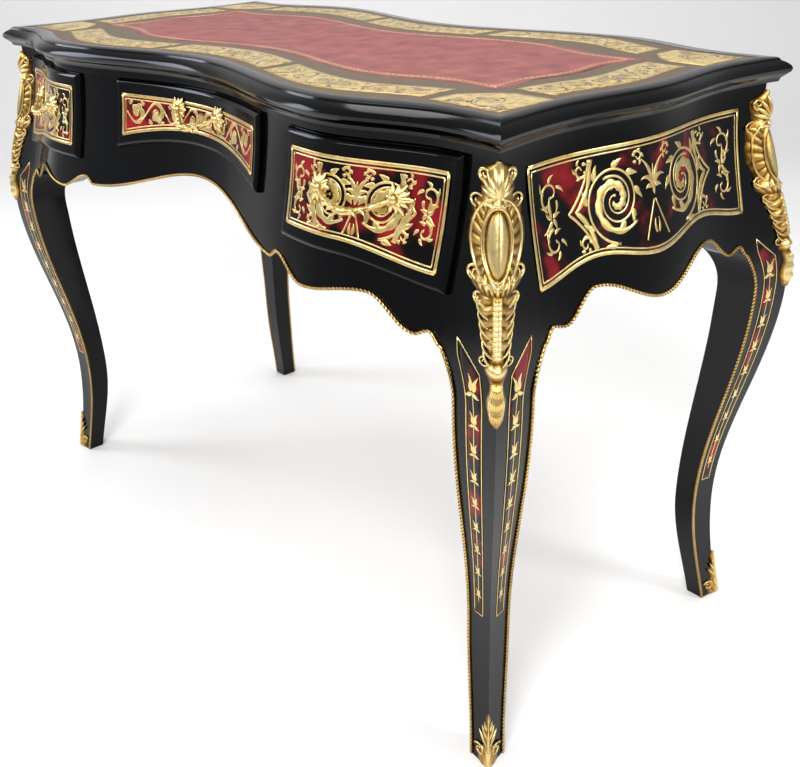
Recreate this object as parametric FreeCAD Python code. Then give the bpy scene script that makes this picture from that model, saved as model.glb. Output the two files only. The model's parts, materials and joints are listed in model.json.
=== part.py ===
import FreeCAD, Part
import math
import os

Vector = FreeCAD.Vector

# Writing desk with shaped legs, serpentine sides and three drawers. Millimetres.
# +X is to the right, -Y is the drawer front, +Z is up, the floor is at z = 0.

# Plan of the top's flat, measured at its four corners
DESK_HEIGHT = 780.0
CORNER_HALF_WIDTH = 537.0
CORNER_HALF_DEPTH = 236.5
FRONT_BULGE = 34.5
FRONT_RECESS = 19.5
FRONT_HOLLOW = 4.0
SIDE_BULGE = 2.5
SIDE_HOLLOW = 11.5
FRONT_BULGE_SHARE = 0.568
FRONT_HOLLOW_SHARE = 0.885
SIDE_HOLLOW_SHARE = 0.57

# Top board: moulded edge, sunk field, leather, veneer border and brass panels
TOP_THICKNESS = 28.0
MOULDING_REACH = 15.0
MOULDING_DROP_SHARES = (0.0, 0.05, 0.13, 0.22, 0.34, 0.47, 0.60, 0.73, 0.86, 1.0)
MOULDING_REACH_SHARES = (0.0, 0.20, 0.27, 0.60, 0.88, 1.0, 0.93, 0.66, 0.38, 0.30)
RIM_WIDTH = 14.0
VENEER_THICKNESS = 1.6
INLAY_THICKNESS = 0.4
LEATHER_THICKNESS = 1.8
LEATHER_MARGIN = 108.0
LEATHER_WAVE_SHARE = 0.72
PANEL_OUTER_MARGIN = 30.0
PANEL_INNER_MARGIN = 82.0
CENTRE_PANEL_END = 118.0
SIDE_PANEL_START = 136.0
SIDE_PANEL_END = 398.0
END_PANEL_END = 112.0
CARTOUCHE_START = 416.0
CARTOUCHE_DEPTH_START = 130.0
CARTOUCHE_MARGIN = 27.0

# Heights, one below the other from the carcass top: rail, drawers, apron, knee
CARCASS_TOP = DESK_HEIGHT - TOP_THICKNESS
RAIL_HEIGHT = 12.0
DRAWER_TOP = CARCASS_TOP - RAIL_HEIGHT
CENTRE_DRAWER_HEIGHT = 92.0
CENTRE_END_BOTTOM = DRAWER_TOP - CENTRE_DRAWER_HEIGHT
SIDE_DRAWER_HEIGHT = 118.0
SIDE_DRAWER_BOTTOM = DRAWER_TOP - SIDE_DRAWER_HEIGHT
APRON_HEIGHT = 70.0
LEG_TOP = SIDE_DRAWER_BOTTOM - APRON_HEIGHT
KNEE_DROP = 52.0
KNEE_HEIGHT = LEG_TOP - KNEE_DROP

# Outward sweep of the frieze and the legs, from the top down to the foot
ANKLE_HEIGHT = 180.0
FRIEZE_INSET = 5.0
KNEE_SWELL = 36.0
ANKLE_INSET = 5.5
FOOT_SWELL = 12.0

# Width of each leg's face
FOOT_WIDTH = 30.0
ANKLE_WIDTH = 36.5
KNEE_WIDTH = 62.0
LEG_TOP_WIDTH = 80.0

# Lower edges of the aprons, as shares from the middle to the leg and from low to high
FRONT_ARCH_RISE = 78.0
FRONT_EDGE_SHARES = ((0.0, 1.0), (0.455, 0.48), (0.49, 0.60), (0.612, 0.32),
                     (0.80, 0.49), (0.93, 0.07), (0.965, 0.15), (1.0, 0.0))
SIDE_ARCH_RISE = 38.0
SIDE_EDGE_SHARES = ((0.0, 0.15), (0.55, 1.0), (0.81, 0.24), (0.92, 0.36), (1.0, 0.0))

# Frame boards, bearers and their screws
BOARD = 24.0
BEARER_WIDTH = 30.0
BEARER_HEIGHT = 40.0
SCREW_RADIUS = 2.0
SCREW_HEAD_RADIUS = 4.0
SCREW_HEAD_HEIGHT = 3.0
SCREW_BITE = 14.0
SCREW_CLEARANCE = 0.1
SCREW_SPREAD = 120.0

# Drawers
DRAWER_CLEARANCE = 1.0
LIP = 9.0
DRAWER_BACK_PLANE = 200.0
CENTRE_HALF_WIDTH = 172.0
CENTRE_ARCH = 20.0
SIDE_DRAWER_START = 254.0
SIDE_DRAWER_DROP = 17.0
SIDE_DROP_SHARE = 0.40
STILE_FOOT = CENTRE_END_BOTTOM + CENTRE_ARCH + DRAWER_CLEARANCE
PANEL_SIDE_MARGIN = 12.0
PANEL_TOP_MARGIN = 17.0
BOX_INSET = 12.0
BOX_WALL = 10.0
BOX_BOTTOM = 5.0
BOX_TOP_GAP = 15.0
BOX_LIFT = 6.0
BOX_FLOOR_LIFT = 12.0
CENTRE_BOX_FLOOR_LIFT = 19.0
BOX_BACK = 150.0
RUNNING_GAP = 0.3
RUNNER_WIDTH = 22.0
RUNNER_HEIGHT = 34.0
GUIDE_WIDTH = 10.0
GUIDE_HEIGHT = 14.0
GUIDE_GAP = 0.5
STOP_LENGTH = 12.0
STOP_HEIGHT = 16.0

# Cast handles
HANDLE_SPAN = 92.0
ROSETTE_RADIUS = 15.0
ROSETTE_RISE = 8.0
GRIP_RADIUS = 4.2
GRIP_SAG = 16.0
GRIP_STAND = 16.0
BOLT_RADIUS = 2.0
BOLT_CLEARANCE = 0.15
NUT_RADIUS = 4.0
NUT_HEIGHT = 4.0
BOLT_TAIL = 2.0

# Marquetry on the ends, the back and the legs
MARQUETRY_THICKNESS = 0.6
END_MARQUETRY_DROP = 25.0
END_MARQUETRY_TOP = CARCASS_TOP - END_MARQUETRY_DROP
END_MARQUETRY_HEIGHT = 123.0
END_MARQUETRY_FOOT = END_MARQUETRY_TOP - END_MARQUETRY_HEIGHT
END_MARQUETRY_HALF_WIDTH = 178.0
END_MARQUETRY_SPREAD = 8.0
END_MARQUETRY_WAVE = 14.0
STRIP_LIFT = 26.0
STRIP_FOOT = ANKLE_HEIGHT + STRIP_LIFT
STRIP_RISE = 16.0
STRIP_TOP = LEG_TOP + STRIP_RISE
STRIP_SLANT = 28.0
STRIP_INNER_SHARE = 0.28
STRIP_OUTER_SHARE = 0.34

# Beading along the lower edges and the legs
BEAD_WIDTH = 3.4
BEAD_RISE = 2.2
SEAT_GAP = 0.05
BEAD_GAP = 0.3

# Bronze corner mounts and foot mounts, drawn on the diagonal of each corner
MOUNT_DROP = 10.0
MOUNT_TOP = CARCASS_TOP - MOUNT_DROP
MOUNT_LENGTH = 249.0
MOUNT_HALF_WIDTH = 27.5
MOUNT_RISE = 9.0
MOUNT_SHARES = ((0.0, 0.30), (0.06, 0.66), (0.13, 0.58), (0.17, 0.80), (0.30, 1.0), (0.42, 0.78),
                (0.455, 0.95), (0.50, 0.72), (0.66, 0.56), (0.74, 0.30), (0.80, 0.40), (0.92, 0.32), (1.0, 0.06))
SABOT_HEIGHT = 74.0
SABOT_LIFT = 1.0
SABOT_HALF_WIDTH = 15.5
SABOT_RISE = 3.6
SABOT_SHARES = ((0.0, 0.10), (0.16, 0.26), (0.34, 0.22), (0.50, 0.52), (0.66, 0.42), (0.84, 0.92), (1.0, 1.0))

# Construction values
CUT_OVERRUN = 20.0
SPAN_STEPS = 5
EDGE_STEPS = 6
LEG_STEPS = 14
UP = Vector(0, 0, 1)
FORWARD = Vector(0, 1, 0)
SIDEWAYS = Vector(1, 0, 0)
REACH = CORNER_HALF_WIDTH + KNEE_SWELL + MOULDING_REACH + CUT_OVERRUN


def ease(start, end, share):
    """Half a cosine wave from start to end, level at both."""
    return start + (end - start) * (1 - math.cos(math.pi * share)) / 2


def lift(start, end, share):
    """Quarter of a cosine wave from start to end, level only at the start."""
    return start + (end - start) * (1 - math.cos(math.pi * share / 2))


def wave(at, knots):
    """Value at a place along a row of (place, value) knots, joined by half waves; the last by a quarter wave."""
    for index in range(len(knots) - 1):
        place, value = knots[index]
        next_place, next_value = knots[index + 1]
        is_last = index == len(knots) - 2
        if at <= next_place or is_last:
            share = min(max((at - place) / (next_place - place), 0), 1)
            curve = lift if is_last else ease
            return curve(value, next_value, share)


def front_depth(x, grow, calm=1):
    """Distance of the serpentine front line from the middle of the desk at x, for an outline grown by grow."""
    knots = ((0, -FRONT_RECESS), (FRONT_BULGE_SHARE, FRONT_BULGE), (FRONT_HOLLOW_SHARE, -FRONT_HOLLOW), (1, 0))
    return CORNER_HALF_DEPTH + grow + calm * wave(abs(x) / (CORNER_HALF_WIDTH + grow), knots)


def side_width(y, grow, calm=1):
    """Distance of the end's line from the middle of the desk at y, for an outline grown by grow."""
    knots = ((0, SIDE_BULGE), (SIDE_HOLLOW_SHARE, -SIDE_HOLLOW), (1, 0))
    return CORNER_HALF_WIDTH + grow + calm * wave(abs(y) / (CORNER_HALF_DEPTH + grow), knots)


def swell(z):
    """How far the frieze and the legs stand out from the top's outline at height z."""
    if z >= KNEE_HEIGHT:
        return ease(-FRIEZE_INSET, KNEE_SWELL, (CARCASS_TOP - z) / (CARCASS_TOP - KNEE_HEIGHT))
    if z >= ANKLE_HEIGHT:
        return ease(KNEE_SWELL, -ANKLE_INSET, (KNEE_HEIGHT - z) / (KNEE_HEIGHT - ANKLE_HEIGHT))
    return lift(-ANKLE_INSET, FOOT_SWELL, (ANKLE_HEIGHT - z) / ANKLE_HEIGHT)


def leg_width(z):
    """Width of a leg's face at height z."""
    knots = ((0, FOOT_WIDTH), (ANKLE_HEIGHT, ANKLE_WIDTH), (KNEE_HEIGHT, KNEE_WIDTH), (LEG_TOP, LEG_TOP_WIDTH))
    return wave(z, knots)


POST_X = CORNER_HALF_WIDTH + swell(LEG_TOP) - LEG_TOP_WIDTH
POST_Y = CORNER_HALF_DEPTH + swell(LEG_TOP) - LEG_TOP_WIDTH


def steps(start, end, count):
    return [start + (end - start) * index / count for index in range(count + 1)]


def paces(points):
    """Share of the whole length at each of a row of (across, height) points."""
    lengths = [math.dist(a, b) for a, b in zip(points, points[1:])]
    return [sum(lengths[:index]) / sum(lengths) for index in range(len(lengths))] + [1]


def smooth_edge(points, places=None):
    """Smooth curve through the points at the given shares, or evenly paced so that rows loft into a light surface."""
    curve = Part.BSplineCurve()
    curve.interpolate(Points=points, Parameters=places or steps(0, 1, len(points) - 1))
    return curve.toShape()


def straight_edge(start, end):
    return Part.LineSegment(start, end).toShape()


def closed_face(edges):
    return Part.Face(Part.Wire(edges))


def box(x0, x1, y0, y1, z0, z1):
    return Part.makeBox(x1 - x0, y1 - y0, z1 - z0, Vector(x0, y0, z0))


def plan_edges(z, grow, calm=1):
    """Front, right, back and left edges of the serpentine outline at height z, grown outwards by grow."""
    half_width = CORNER_HALF_WIDTH + grow
    half_depth = CORNER_HALF_DEPTH + grow
    across = steps(-half_width, half_width, 4 * EDGE_STEPS)
    along = steps(-half_depth, half_depth, 2 * EDGE_STEPS)
    front = [Vector(x, -front_depth(x, grow, calm), z) for x in across]
    right = [Vector(side_width(y, grow, calm), y, z) for y in along]
    back = [Vector(x, front_depth(x, grow, calm), z) for x in reversed(across)]
    left = [Vector(-side_width(y, grow, calm), y, z) for y in reversed(along)]
    return [smooth_edge(side) for side in (front, right, back, left)]


def plan_wire(z, grow, calm=1):
    return Part.Wire(plan_edges(z, grow, calm))


def plan_slab(z0, z1, grow, calm=1):
    """Flat plate with the serpentine outline between two heights."""
    return Part.Face(plan_wire(z0, grow, calm)).extrude(UP * (z1 - z0))


def sweep_heights():
    """Heights of the outlines that the outer surface is lofted through."""
    heights = steps(0, ANKLE_HEIGHT, SPAN_STEPS)
    heights += steps(ANKLE_HEIGHT, KNEE_HEIGHT, SPAN_STEPS)[1:]
    return heights + steps(KNEE_HEIGHT, CARCASS_TOP, SPAN_STEPS)[1:]


def envelope(extra):
    """Solid bounded by the outer surface of frieze and legs, offset outwards by extra."""
    return Part.makeLoft([plan_wire(z, swell(z) + extra) for z in sweep_heights()], True, False)


def surfaces(extra):
    """The front, right, back and left faces of that surface, each by itself."""
    rows = [plan_edges(z, swell(z) + extra) for z in sweep_heights()]
    return [Part.makeLoft([Part.Wire([row[side]]) for row in rows], False, False) for side in range(4)]


def laid_on(prism, surface, push):
    """Layer on the part of a surface that a prism covers, raised straight along push."""
    return Part.makeCompound([face.extrude(push) for face in prism.common(surface).Faces])


def leg_edge(corner, grow):
    """Inner edge of a leg's face from the floor to the apron, as (across, height) points."""
    heights = steps(0, LEG_TOP, LEG_STEPS)
    return [(corner + swell(z) - leg_width(z) + grow, z) for z in heights]


def apron_edge(post, rise, shares, grow):
    """Lower edge of an apron from one leg to the other, as (across, height) points."""
    knots = [(share * (post + grow), LEG_TOP + grow + rise * height) for share, height in shares]
    half = []
    for (place, height), (next_place, next_height) in zip(knots, knots[1:]):
        for share in steps(0, 1, EDGE_STEPS)[:-1]:
            half.append((place + (next_place - place) * share, ease(height, next_height, share)))
    half.append(knots[-1])
    return [(across, height) for across, height in reversed(half)] + [(-across, height) for across, height in half[1:]]


def opening(corner, post, rise, shares, placed):
    """Face of the open space between two legs below an apron; placed turns (across, height) into a point."""
    leg = leg_edge(corner, 0)
    apron = apron_edge(post, rise, shares, 0)
    foot = leg[0][0]
    edges = [straight_edge(placed(-foot, -CUT_OVERRUN), placed(foot, -CUT_OVERRUN)),
             straight_edge(placed(foot, -CUT_OVERRUN), placed(foot, 0)),
             smooth_edge([placed(*point) for point in leg]),
             smooth_edge([placed(*point) for point in apron], paces(apron)),
             smooth_edge([placed(-across, height) for across, height in reversed(leg)]),
             straight_edge(placed(-foot, 0), placed(-foot, -CUT_OVERRUN))]
    return closed_face(edges)


def band(inner, outer):
    """Face between two lines of points."""
    return closed_face([smooth_edge(inner), straight_edge(inner[-1], outer[-1]),
                        smooth_edge(outer[::-1]), straight_edge(outer[0], inner[0])])


def bead_lines(corner, post, rise, shares):
    """Inner and outer lines of the beading beside an opening: down the two legs and along the apron."""
    legs = [leg_edge(corner, grow) for grow in (0, BEAD_WIDTH)]
    lines = [[[(hand * across, height) for across, height in leg] for leg in legs] for hand in (-1, 1)]
    return lines + [[apron_edge(post, rise, shares, grow) for grow in (0, BEAD_WIDTH)]]


def laid_bead(lines, placed, push):
    """Strip between two lines on the outer surface, raised along push."""
    places = paces(lines[0])
    inner, outer = [smooth_edge([placed(*point) for point in line], places) for line in lines]
    return Part.makeRuledSurface(inner, outer).extrude(push)


FRONT_SHAPE = (CORNER_HALF_WIDTH, POST_X, FRONT_ARCH_RISE, FRONT_EDGE_SHARES)
SIDE_SHAPE = (CORNER_HALF_DEPTH, POST_Y, SIDE_ARCH_RISE, SIDE_EDGE_SHARES)


def facing_prism(edges, back_plane=0):
    """Prism of a drawer or panel outline, from far in front of the desk back to a plane."""
    return closed_face(edges).extrude(FORWARD * (REACH - back_plane))


def at_front(x, z):
    return Vector(x, -REACH, z)


def at_end(y, z):
    return Vector(-REACH, y, z)


def polygon_edges(points):
    return [straight_edge(a, b) for a, b in zip(points, points[1:])]


def centre_outline(side_grow, top_grow, over=0):
    """Outline of the centre drawer front or its panel: level top, arched foot. It has no leg to run over to."""
    half = CENTRE_HALF_WIDTH + side_grow
    top = DRAWER_TOP + top_grow
    foot = CENTRE_END_BOTTOM - top_grow
    edges = polygon_edges([at_front(half, foot), at_front(half, top), at_front(-half, top), at_front(-half, foot)])
    arch = Part.Arc(at_front(-half, foot), at_front(0, foot + CENTRE_ARCH), at_front(half, foot))
    return edges + [arch.toShape()]


def side_outline(hand, side_grow, top_grow, over=0):
    """Outline of a side drawer front or its panel: the foot runs level, then drops towards the leg.

    An opening runs over the leg's line by the length over."""
    inner = SIDE_DRAWER_START - side_grow
    outer = POST_X - DRAWER_CLEARANCE + side_grow
    top = DRAWER_TOP + top_grow
    foot = SIDE_DRAWER_BOTTOM - top_grow
    bend = inner + (outer - inner) * SIDE_DROP_SHARE
    fall = [(bend + (outer - bend) * share, ease(foot, foot - SIDE_DRAWER_DROP, share))
            for share in steps(0, 1, EDGE_STEPS)]
    corners = [fall[-1], (outer + over, fall[-1][1])] if over else [fall[-1]]
    corners += [(outer + over, top), (inner, top), (inner, foot), fall[0]]
    edges = polygon_edges([at_front(hand * x, z) for x, z in corners])
    return edges + [smooth_edge([at_front(hand * x, z) for x, z in fall])]


DRAWERS = {
    "left": lambda side, top, over=0: side_outline(-1, side, top, over),
    "centre": centre_outline,
    "right": lambda side, top, over=0: side_outline(1, side, top, over),
}


def box_sizes(name):
    """Outer x limits, lower edge and floor height of a drawer's box."""
    if name == "centre":
        low = CENTRE_END_BOTTOM + BOX_LIFT
        half = CENTRE_HALF_WIDTH - BOX_INSET
        return -half, half, low, low + CENTRE_BOX_FLOOR_LIFT
    inner = SIDE_DRAWER_START + BOX_INSET
    outer = POST_X - DRAWER_CLEARANCE - BOX_INSET
    low = SIDE_DRAWER_BOTTOM + BOX_LIFT
    limits = (inner, outer) if name == "right" else (-outer, -inner)
    return limits + (low, low + BOX_FLOOR_LIFT)


def y_cylinder(x, z, radius, y0, y1):
    return Part.makeCylinder(radius, y1 - y0, Vector(x, y0, z), FORWARD)


def handle_places(name):
    """Centres of a handle's two rosettes, level with the middle of the drawer's panel."""
    x0, x1, low, floor = box_sizes(name)
    middle = (x0 + x1) / 2
    foot = CENTRE_END_BOTTOM + CENTRE_ARCH if name == "centre" else SIDE_DRAWER_BOTTOM
    height = (foot + DRAWER_TOP) / 2 + GRIP_SAG / 2
    return [(middle - HANDLE_SPAN / 2, height), (middle + HANDLE_SPAN / 2, height)]


def surface_y(x, z, extra):
    return -front_depth(x, swell(z) + extra)


def handle_casting(name, outer):
    """Two rosettes on the drawer's face and the hanging grip between them, cast as one."""
    places = handle_places(name)
    fronts = [surface_y(x, z, LIP + MARQUETRY_THICKNESS) - ROSETTE_RISE for x, z in places]
    casting = None
    for (x, z), front in zip(places, fronts):
        boss = y_cylinder(x, z, ROSETTE_RADIUS, front, -DRAWER_BACK_PLANE).cut(outer)
        casting = boss if casting is None else casting.fuse(boss)
    starts = [Vector(x, front + ROSETTE_RISE / 2, z) for (x, z), front in zip(places, fronts)]
    middle = (starts[0] + starts[1]) / 2 + Vector(0, -GRIP_STAND, -GRIP_SAG)
    path = Part.Wire([Part.Arc(starts[0], middle, starts[1]).toShape()])
    tangent = path.Edges[0].tangentAt(path.Edges[0].FirstParameter)
    ring = Part.Wire([Part.makeCircle(GRIP_RADIUS, starts[0], tangent)])
    grip = path.makePipeShell([ring], True, False).cut(outer)
    return casting.fuse(grip).removeSplitter()


def handle_bolts(name, outer):
    """Bolts from the rosettes through the drawer front, each with its nut behind."""
    bolts = []
    for x, z in handle_places(name):
        front = surface_y(x, z, LIP + MARQUETRY_THICKNESS) - ROSETTE_RISE
        shank = y_cylinder(x, z, BOLT_RADIUS, front, -DRAWER_BACK_PLANE).common(outer)
        tail = y_cylinder(x, z, BOLT_RADIUS, -DRAWER_BACK_PLANE, -DRAWER_BACK_PLANE + NUT_HEIGHT + BOLT_TAIL)
        corners = [Vector(x + NUT_RADIUS * math.cos(math.pi * turn / 3), -DRAWER_BACK_PLANE,
                          z + NUT_RADIUS * math.sin(math.pi * turn / 3)) for turn in range(7)]
        nut = Part.Face(Part.makePolygon(corners)).extrude(FORWARD * NUT_HEIGHT)
        bolts.append(shank.fuse(tail).fuse(nut).removeSplitter())
    return Part.makeCompound(bolts)


def bolt_holes(name):
    radius = BOLT_RADIUS + BOLT_CLEARANCE
    holes = [y_cylinder(x, z, radius, -REACH, 0) for x, z in handle_places(name)]
    return Part.makeCompound(holes)


def make_drawer(name, face_solid, front_face, outer, nodes):
    """One drawer: shaped front, box, marquetry panel, handle and bolts."""
    outline = DRAWERS[name]
    holes = bolt_holes(name)
    front = facing_prism(outline(0, 0), DRAWER_BACK_PLANE).common(face_solid).cut(holes)
    panel_prism = facing_prism(outline(-PANEL_SIDE_MARGIN, -PANEL_TOP_MARGIN)).cut(holes)
    x0, x1, low, floor = box_sizes(name)
    high = DRAWER_TOP - BOX_TOP_GAP
    front_plane = -DRAWER_BACK_PLANE
    sides = [box(x0, x0 + BOX_WALL, front_plane, BOX_BACK, low, high),
             box(x1 - BOX_WALL, x1, front_plane, BOX_BACK, low, high)]
    nodes[name + "_drawer_front"] = front
    nodes[name + "_drawer_sides"] = Part.makeCompound(sides)
    nodes[name + "_drawer_back"] = box(x0 + BOX_WALL, x1 - BOX_WALL, BOX_BACK - BOX_WALL, BOX_BACK, low, high)
    nodes[name + "_drawer_bottom"] = box(x0 + BOX_WALL, x1 - BOX_WALL, front_plane, BOX_BACK - BOX_WALL,
                                         floor, floor + BOX_BOTTOM)
    nodes[name + "_drawer_marquetry"] = laid_on(panel_prism, front_face, FORWARD * -MARQUETRY_THICKNESS)
    nodes[name + "_drawer_handle"] = handle_casting(name, outer)
    nodes[name + "_drawer_handle_bolts"] = handle_bolts(name, outer)


def make_runners(inner, nodes):
    """Angled runners that carry and guide the drawers, and the stops behind them."""
    runners, stops = [], []
    for name, outline in DRAWERS.items():
        notch = facing_prism(outline(DRAWER_CLEARANCE, DRAWER_CLEARANCE), DRAWER_BACK_PLANE - DRAWER_CLEARANCE)
        x0, x1, low, floor = box_sizes(name)
        top = low - RUNNING_GAP
        for edge, hand in ((x0, -1), (x1, 1)):
            inside = edge - hand * (RUNNER_WIDTH - GUIDE_WIDTH)
            outside = edge + hand * (GUIDE_GAP + GUIDE_WIDTH)
            guide = edge + hand * GUIDE_GAP
            left, right = sorted((inside, outside))
            guide_left, guide_right = sorted((guide, outside))
            shelf = box(left, right, -REACH, REACH, top - RUNNER_HEIGHT, top)
            fence = box(guide_left, guide_right, -DRAWER_BACK_PLANE + BOARD, BOX_BACK, top, top + GUIDE_HEIGHT)
            runners.append(shelf.common(inner).cut(notch).fuse(fence).removeSplitter())
            stop_left, stop_right = sorted((inside, edge))
            stops.append(box(stop_left, stop_right, BOX_BACK + RUNNING_GAP, BOX_BACK + RUNNING_GAP + STOP_LENGTH,
                             top, top + STOP_HEIGHT))
    nodes["drawer_runners"] = Part.makeCompound(runners)
    nodes["drawer_stops"] = Part.makeCompound(stops)


def make_top(screw_holes, nodes):
    """Moulded top board with its sunk field, and the leather and veneer that fill it."""
    wires = [plan_wire(DESK_HEIGHT - TOP_THICKNESS * drop, MOULDING_REACH * reach)
             for drop, reach in zip(MOULDING_DROP_SHARES, MOULDING_REACH_SHARES)]
    field = DESK_HEIGHT - VENEER_THICKNESS - INLAY_THICKNESS
    board = Part.makeLoft(wires, True, True)
    board = board.cut(plan_slab(field, DESK_HEIGHT + CUT_OVERRUN, -RIM_WIDTH))
    leather_cut = plan_slab(field, DESK_HEIGHT, -LEATHER_MARGIN, LEATHER_WAVE_SHARE)
    nodes["top_board"] = board.cut(screw_holes)
    nodes["top_border_veneer"] = plan_slab(field, field + VENEER_THICKNESS, -RIM_WIDTH).cut(leather_cut)
    nodes["writing_leather"] = plan_slab(field, field + LEATHER_THICKNESS, -LEATHER_MARGIN, LEATHER_WAVE_SHARE)
    nodes["top_border_panels"] = Part.makeCompound(border_panels(field + VENEER_THICKNESS))


def band_panel(line, start, end, z, placed):
    """Thin plate between two lines that follow the top's edge, from start to end along it."""
    places = steps(start, end, EDGE_STEPS)
    outer = [placed(at, line(at, -PANEL_OUTER_MARGIN), z) for at in places]
    inner = [placed(at, line(at, -PANEL_INNER_MARGIN), z) for at in places]
    return band(inner, outer).extrude(UP * INLAY_THICKNESS)


def corner_cartouche(right, back, z):
    """Five-cornered plate in a corner of the top."""
    far_x = CORNER_HALF_WIDTH - CARTOUCHE_MARGIN
    far_y = CORNER_HALF_DEPTH - CARTOUCHE_MARGIN
    middle_x = (CARTOUCHE_START + far_x) / 2
    middle_y = (CARTOUCHE_DEPTH_START + far_y) / 2
    corners = [(far_x, far_y), (CARTOUCHE_START, far_y), (CARTOUCHE_START, middle_y),
               (middle_x, CARTOUCHE_DEPTH_START), (far_x, CARTOUCHE_DEPTH_START), (far_x, far_y)]
    points = [Vector(right * x, back * y, z) for x, y in corners]
    return Part.Face(Part.makePolygon(points)).extrude(UP * INLAY_THICKNESS)


def border_panels(z):
    panels = []
    for back in (-1, 1):
        for start, end in ((-SIDE_PANEL_END, -SIDE_PANEL_START), (-CENTRE_PANEL_END, CENTRE_PANEL_END),
                           (SIDE_PANEL_START, SIDE_PANEL_END)):
            panels.append(band_panel(front_depth, start, end, z,
                                     lambda at, out, height: Vector(at, back * out, height)))
    for right in (-1, 1):
        panels.append(band_panel(side_width, -END_PANEL_END, END_PANEL_END, z,
                                 lambda at, out, height: Vector(right * out, at, height)))
        panels += [corner_cartouche(right, back, z) for back in (-1, 1)]
    return panels


def make_frame(outer, inner, nodes):
    """Four legs that run up as corner posts, and the boards tenoned between them."""
    front_cut = opening(*FRONT_SHAPE, at_front).extrude(FORWARD * (2 * REACH))
    side_cut = opening(*SIDE_SHAPE, at_end).extrude(SIDEWAYS * (2 * REACH))
    stand = outer.cut(front_cut).cut(side_cut)
    for back, depth in (("front", -1), ("back", 1)):
        for hand, right in (("left", -1), ("right", 1)):
            x0, x1 = sorted((right * POST_X, right * REACH))
            y0, y1 = sorted((depth * POST_Y, depth * REACH))
            nodes[back + "_" + hand + "_leg"] = stand.common(box(x0, x1, y0, y1, 0, CARCASS_TOP))
    boards = stand.cut(inner)
    nodes["left_apron"] = boards.common(box(-REACH, -POST_X, -POST_Y, POST_Y, 0, CARCASS_TOP))
    nodes["right_apron"] = boards.common(box(POST_X, REACH, -POST_Y, POST_Y, 0, CARCASS_TOP))
    nodes["back_apron"] = boards.common(box(-POST_X, POST_X, POST_Y / 2, REACH, 0, CARCASS_TOP))
    front = boards.common(box(-POST_X, POST_X, -REACH, -POST_Y / 2, 0, CARCASS_TOP))
    for outline in DRAWERS.values():
        front = front.cut(facing_prism(outline(DRAWER_CLEARANCE, DRAWER_CLEARANCE, CUT_OVERRUN)))
    rail_foot = DRAWER_TOP + DRAWER_CLEARANCE
    nodes["front_top_rail"] = front.common(box(-POST_X, POST_X, -REACH, 0, rail_foot, CARCASS_TOP))
    nodes["left_stile"] = front.common(box(-POST_X, 0, -REACH, 0, STILE_FOOT, rail_foot))
    nodes["right_stile"] = front.common(box(0, POST_X, -REACH, 0, STILE_FOOT, rail_foot))
    nodes["front_apron"] = front.common(box(-POST_X, POST_X, -REACH, 0, 0, STILE_FOOT))


def bearer_screws(radius, head):
    """Places of the screws that hold the top: one upright solid each."""
    middle = (CENTRE_HALF_WIDTH + SIDE_DRAWER_START) / 2
    foot = CARCASS_TOP - BEARER_HEIGHT
    screws = []
    for x in (-middle, middle):
        for y in (-SCREW_SPREAD, SCREW_SPREAD):
            screw = Part.makeCylinder(radius, BEARER_HEIGHT + SCREW_BITE, Vector(x, y, foot))
            if head:
                cap = Part.makeCylinder(SCREW_HEAD_RADIUS, SCREW_HEAD_HEIGHT, Vector(x, y, foot - SCREW_HEAD_HEIGHT))
                screw = screw.fuse(cap)
            screws.append(screw)
    return Part.makeCompound(screws)


def make_bearers(inner, holes, nodes):
    """Two cross bearers under the top, between the drawers."""
    middle = (CENTRE_HALF_WIDTH + SIDE_DRAWER_START) / 2
    bearers = []
    for x in (-middle, middle):
        bar = box(x - BEARER_WIDTH / 2, x + BEARER_WIDTH / 2, -REACH, REACH, CARCASS_TOP - BEARER_HEIGHT, CARCASS_TOP)
        bearers.append(bar.common(inner).cut(holes))
    nodes["cross_bearers"] = Part.makeCompound(bearers)
    nodes["top_screws"] = bearer_screws(SCREW_RADIUS, True)


def diagonal_prism(right, depth, top, length, half_width, shares):
    """Prism of a symmetric outline, seen along the diagonal of one corner."""
    outward = Vector(right, depth, 0).normalize()
    across = UP.cross(outward)
    start = Vector(right * POST_X, depth * POST_Y, 0)
    rows = [(top - length * down, half_width * wide) for down, wide in shares]
    line = [(wide, z) for z, wide in rows] + [(-wide, z) for z, wide in reversed(rows)]
    points = [start + across * wide + UP * z for wide, z in line]
    return Part.Face(Part.makePolygon(points + points[:1])).extrude(outward * REACH)


def make_mounts(faces, nodes):
    """Bronze mounts on the four corners and the four feet."""
    front, right_face, back_face, left = faces
    for end, depth, long_face in (("front", -1, front), ("back", 1, back_face)):
        for hand, right, end_face in (("left", -1, left), ("right", 1, right_face)):
            outward = Vector(right, depth, 0)
            mount = diagonal_prism(right, depth, MOUNT_TOP, MOUNT_LENGTH, MOUNT_HALF_WIDTH, MOUNT_SHARES)
            sabot = diagonal_prism(right, depth, SABOT_HEIGHT, SABOT_HEIGHT - SABOT_LIFT, SABOT_HALF_WIDTH, SABOT_SHARES)
            for name, prism, rise in (("corner_mount", mount, MOUNT_RISE), ("foot_mount", sabot, SABOT_RISE)):
                halves = [laid_on(prism, face, outward * rise) for face in (long_face, end_face)]
                nodes[end + "_" + hand + "_" + name] = halves[0].fuse(halves[1]).removeSplitter()


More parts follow.
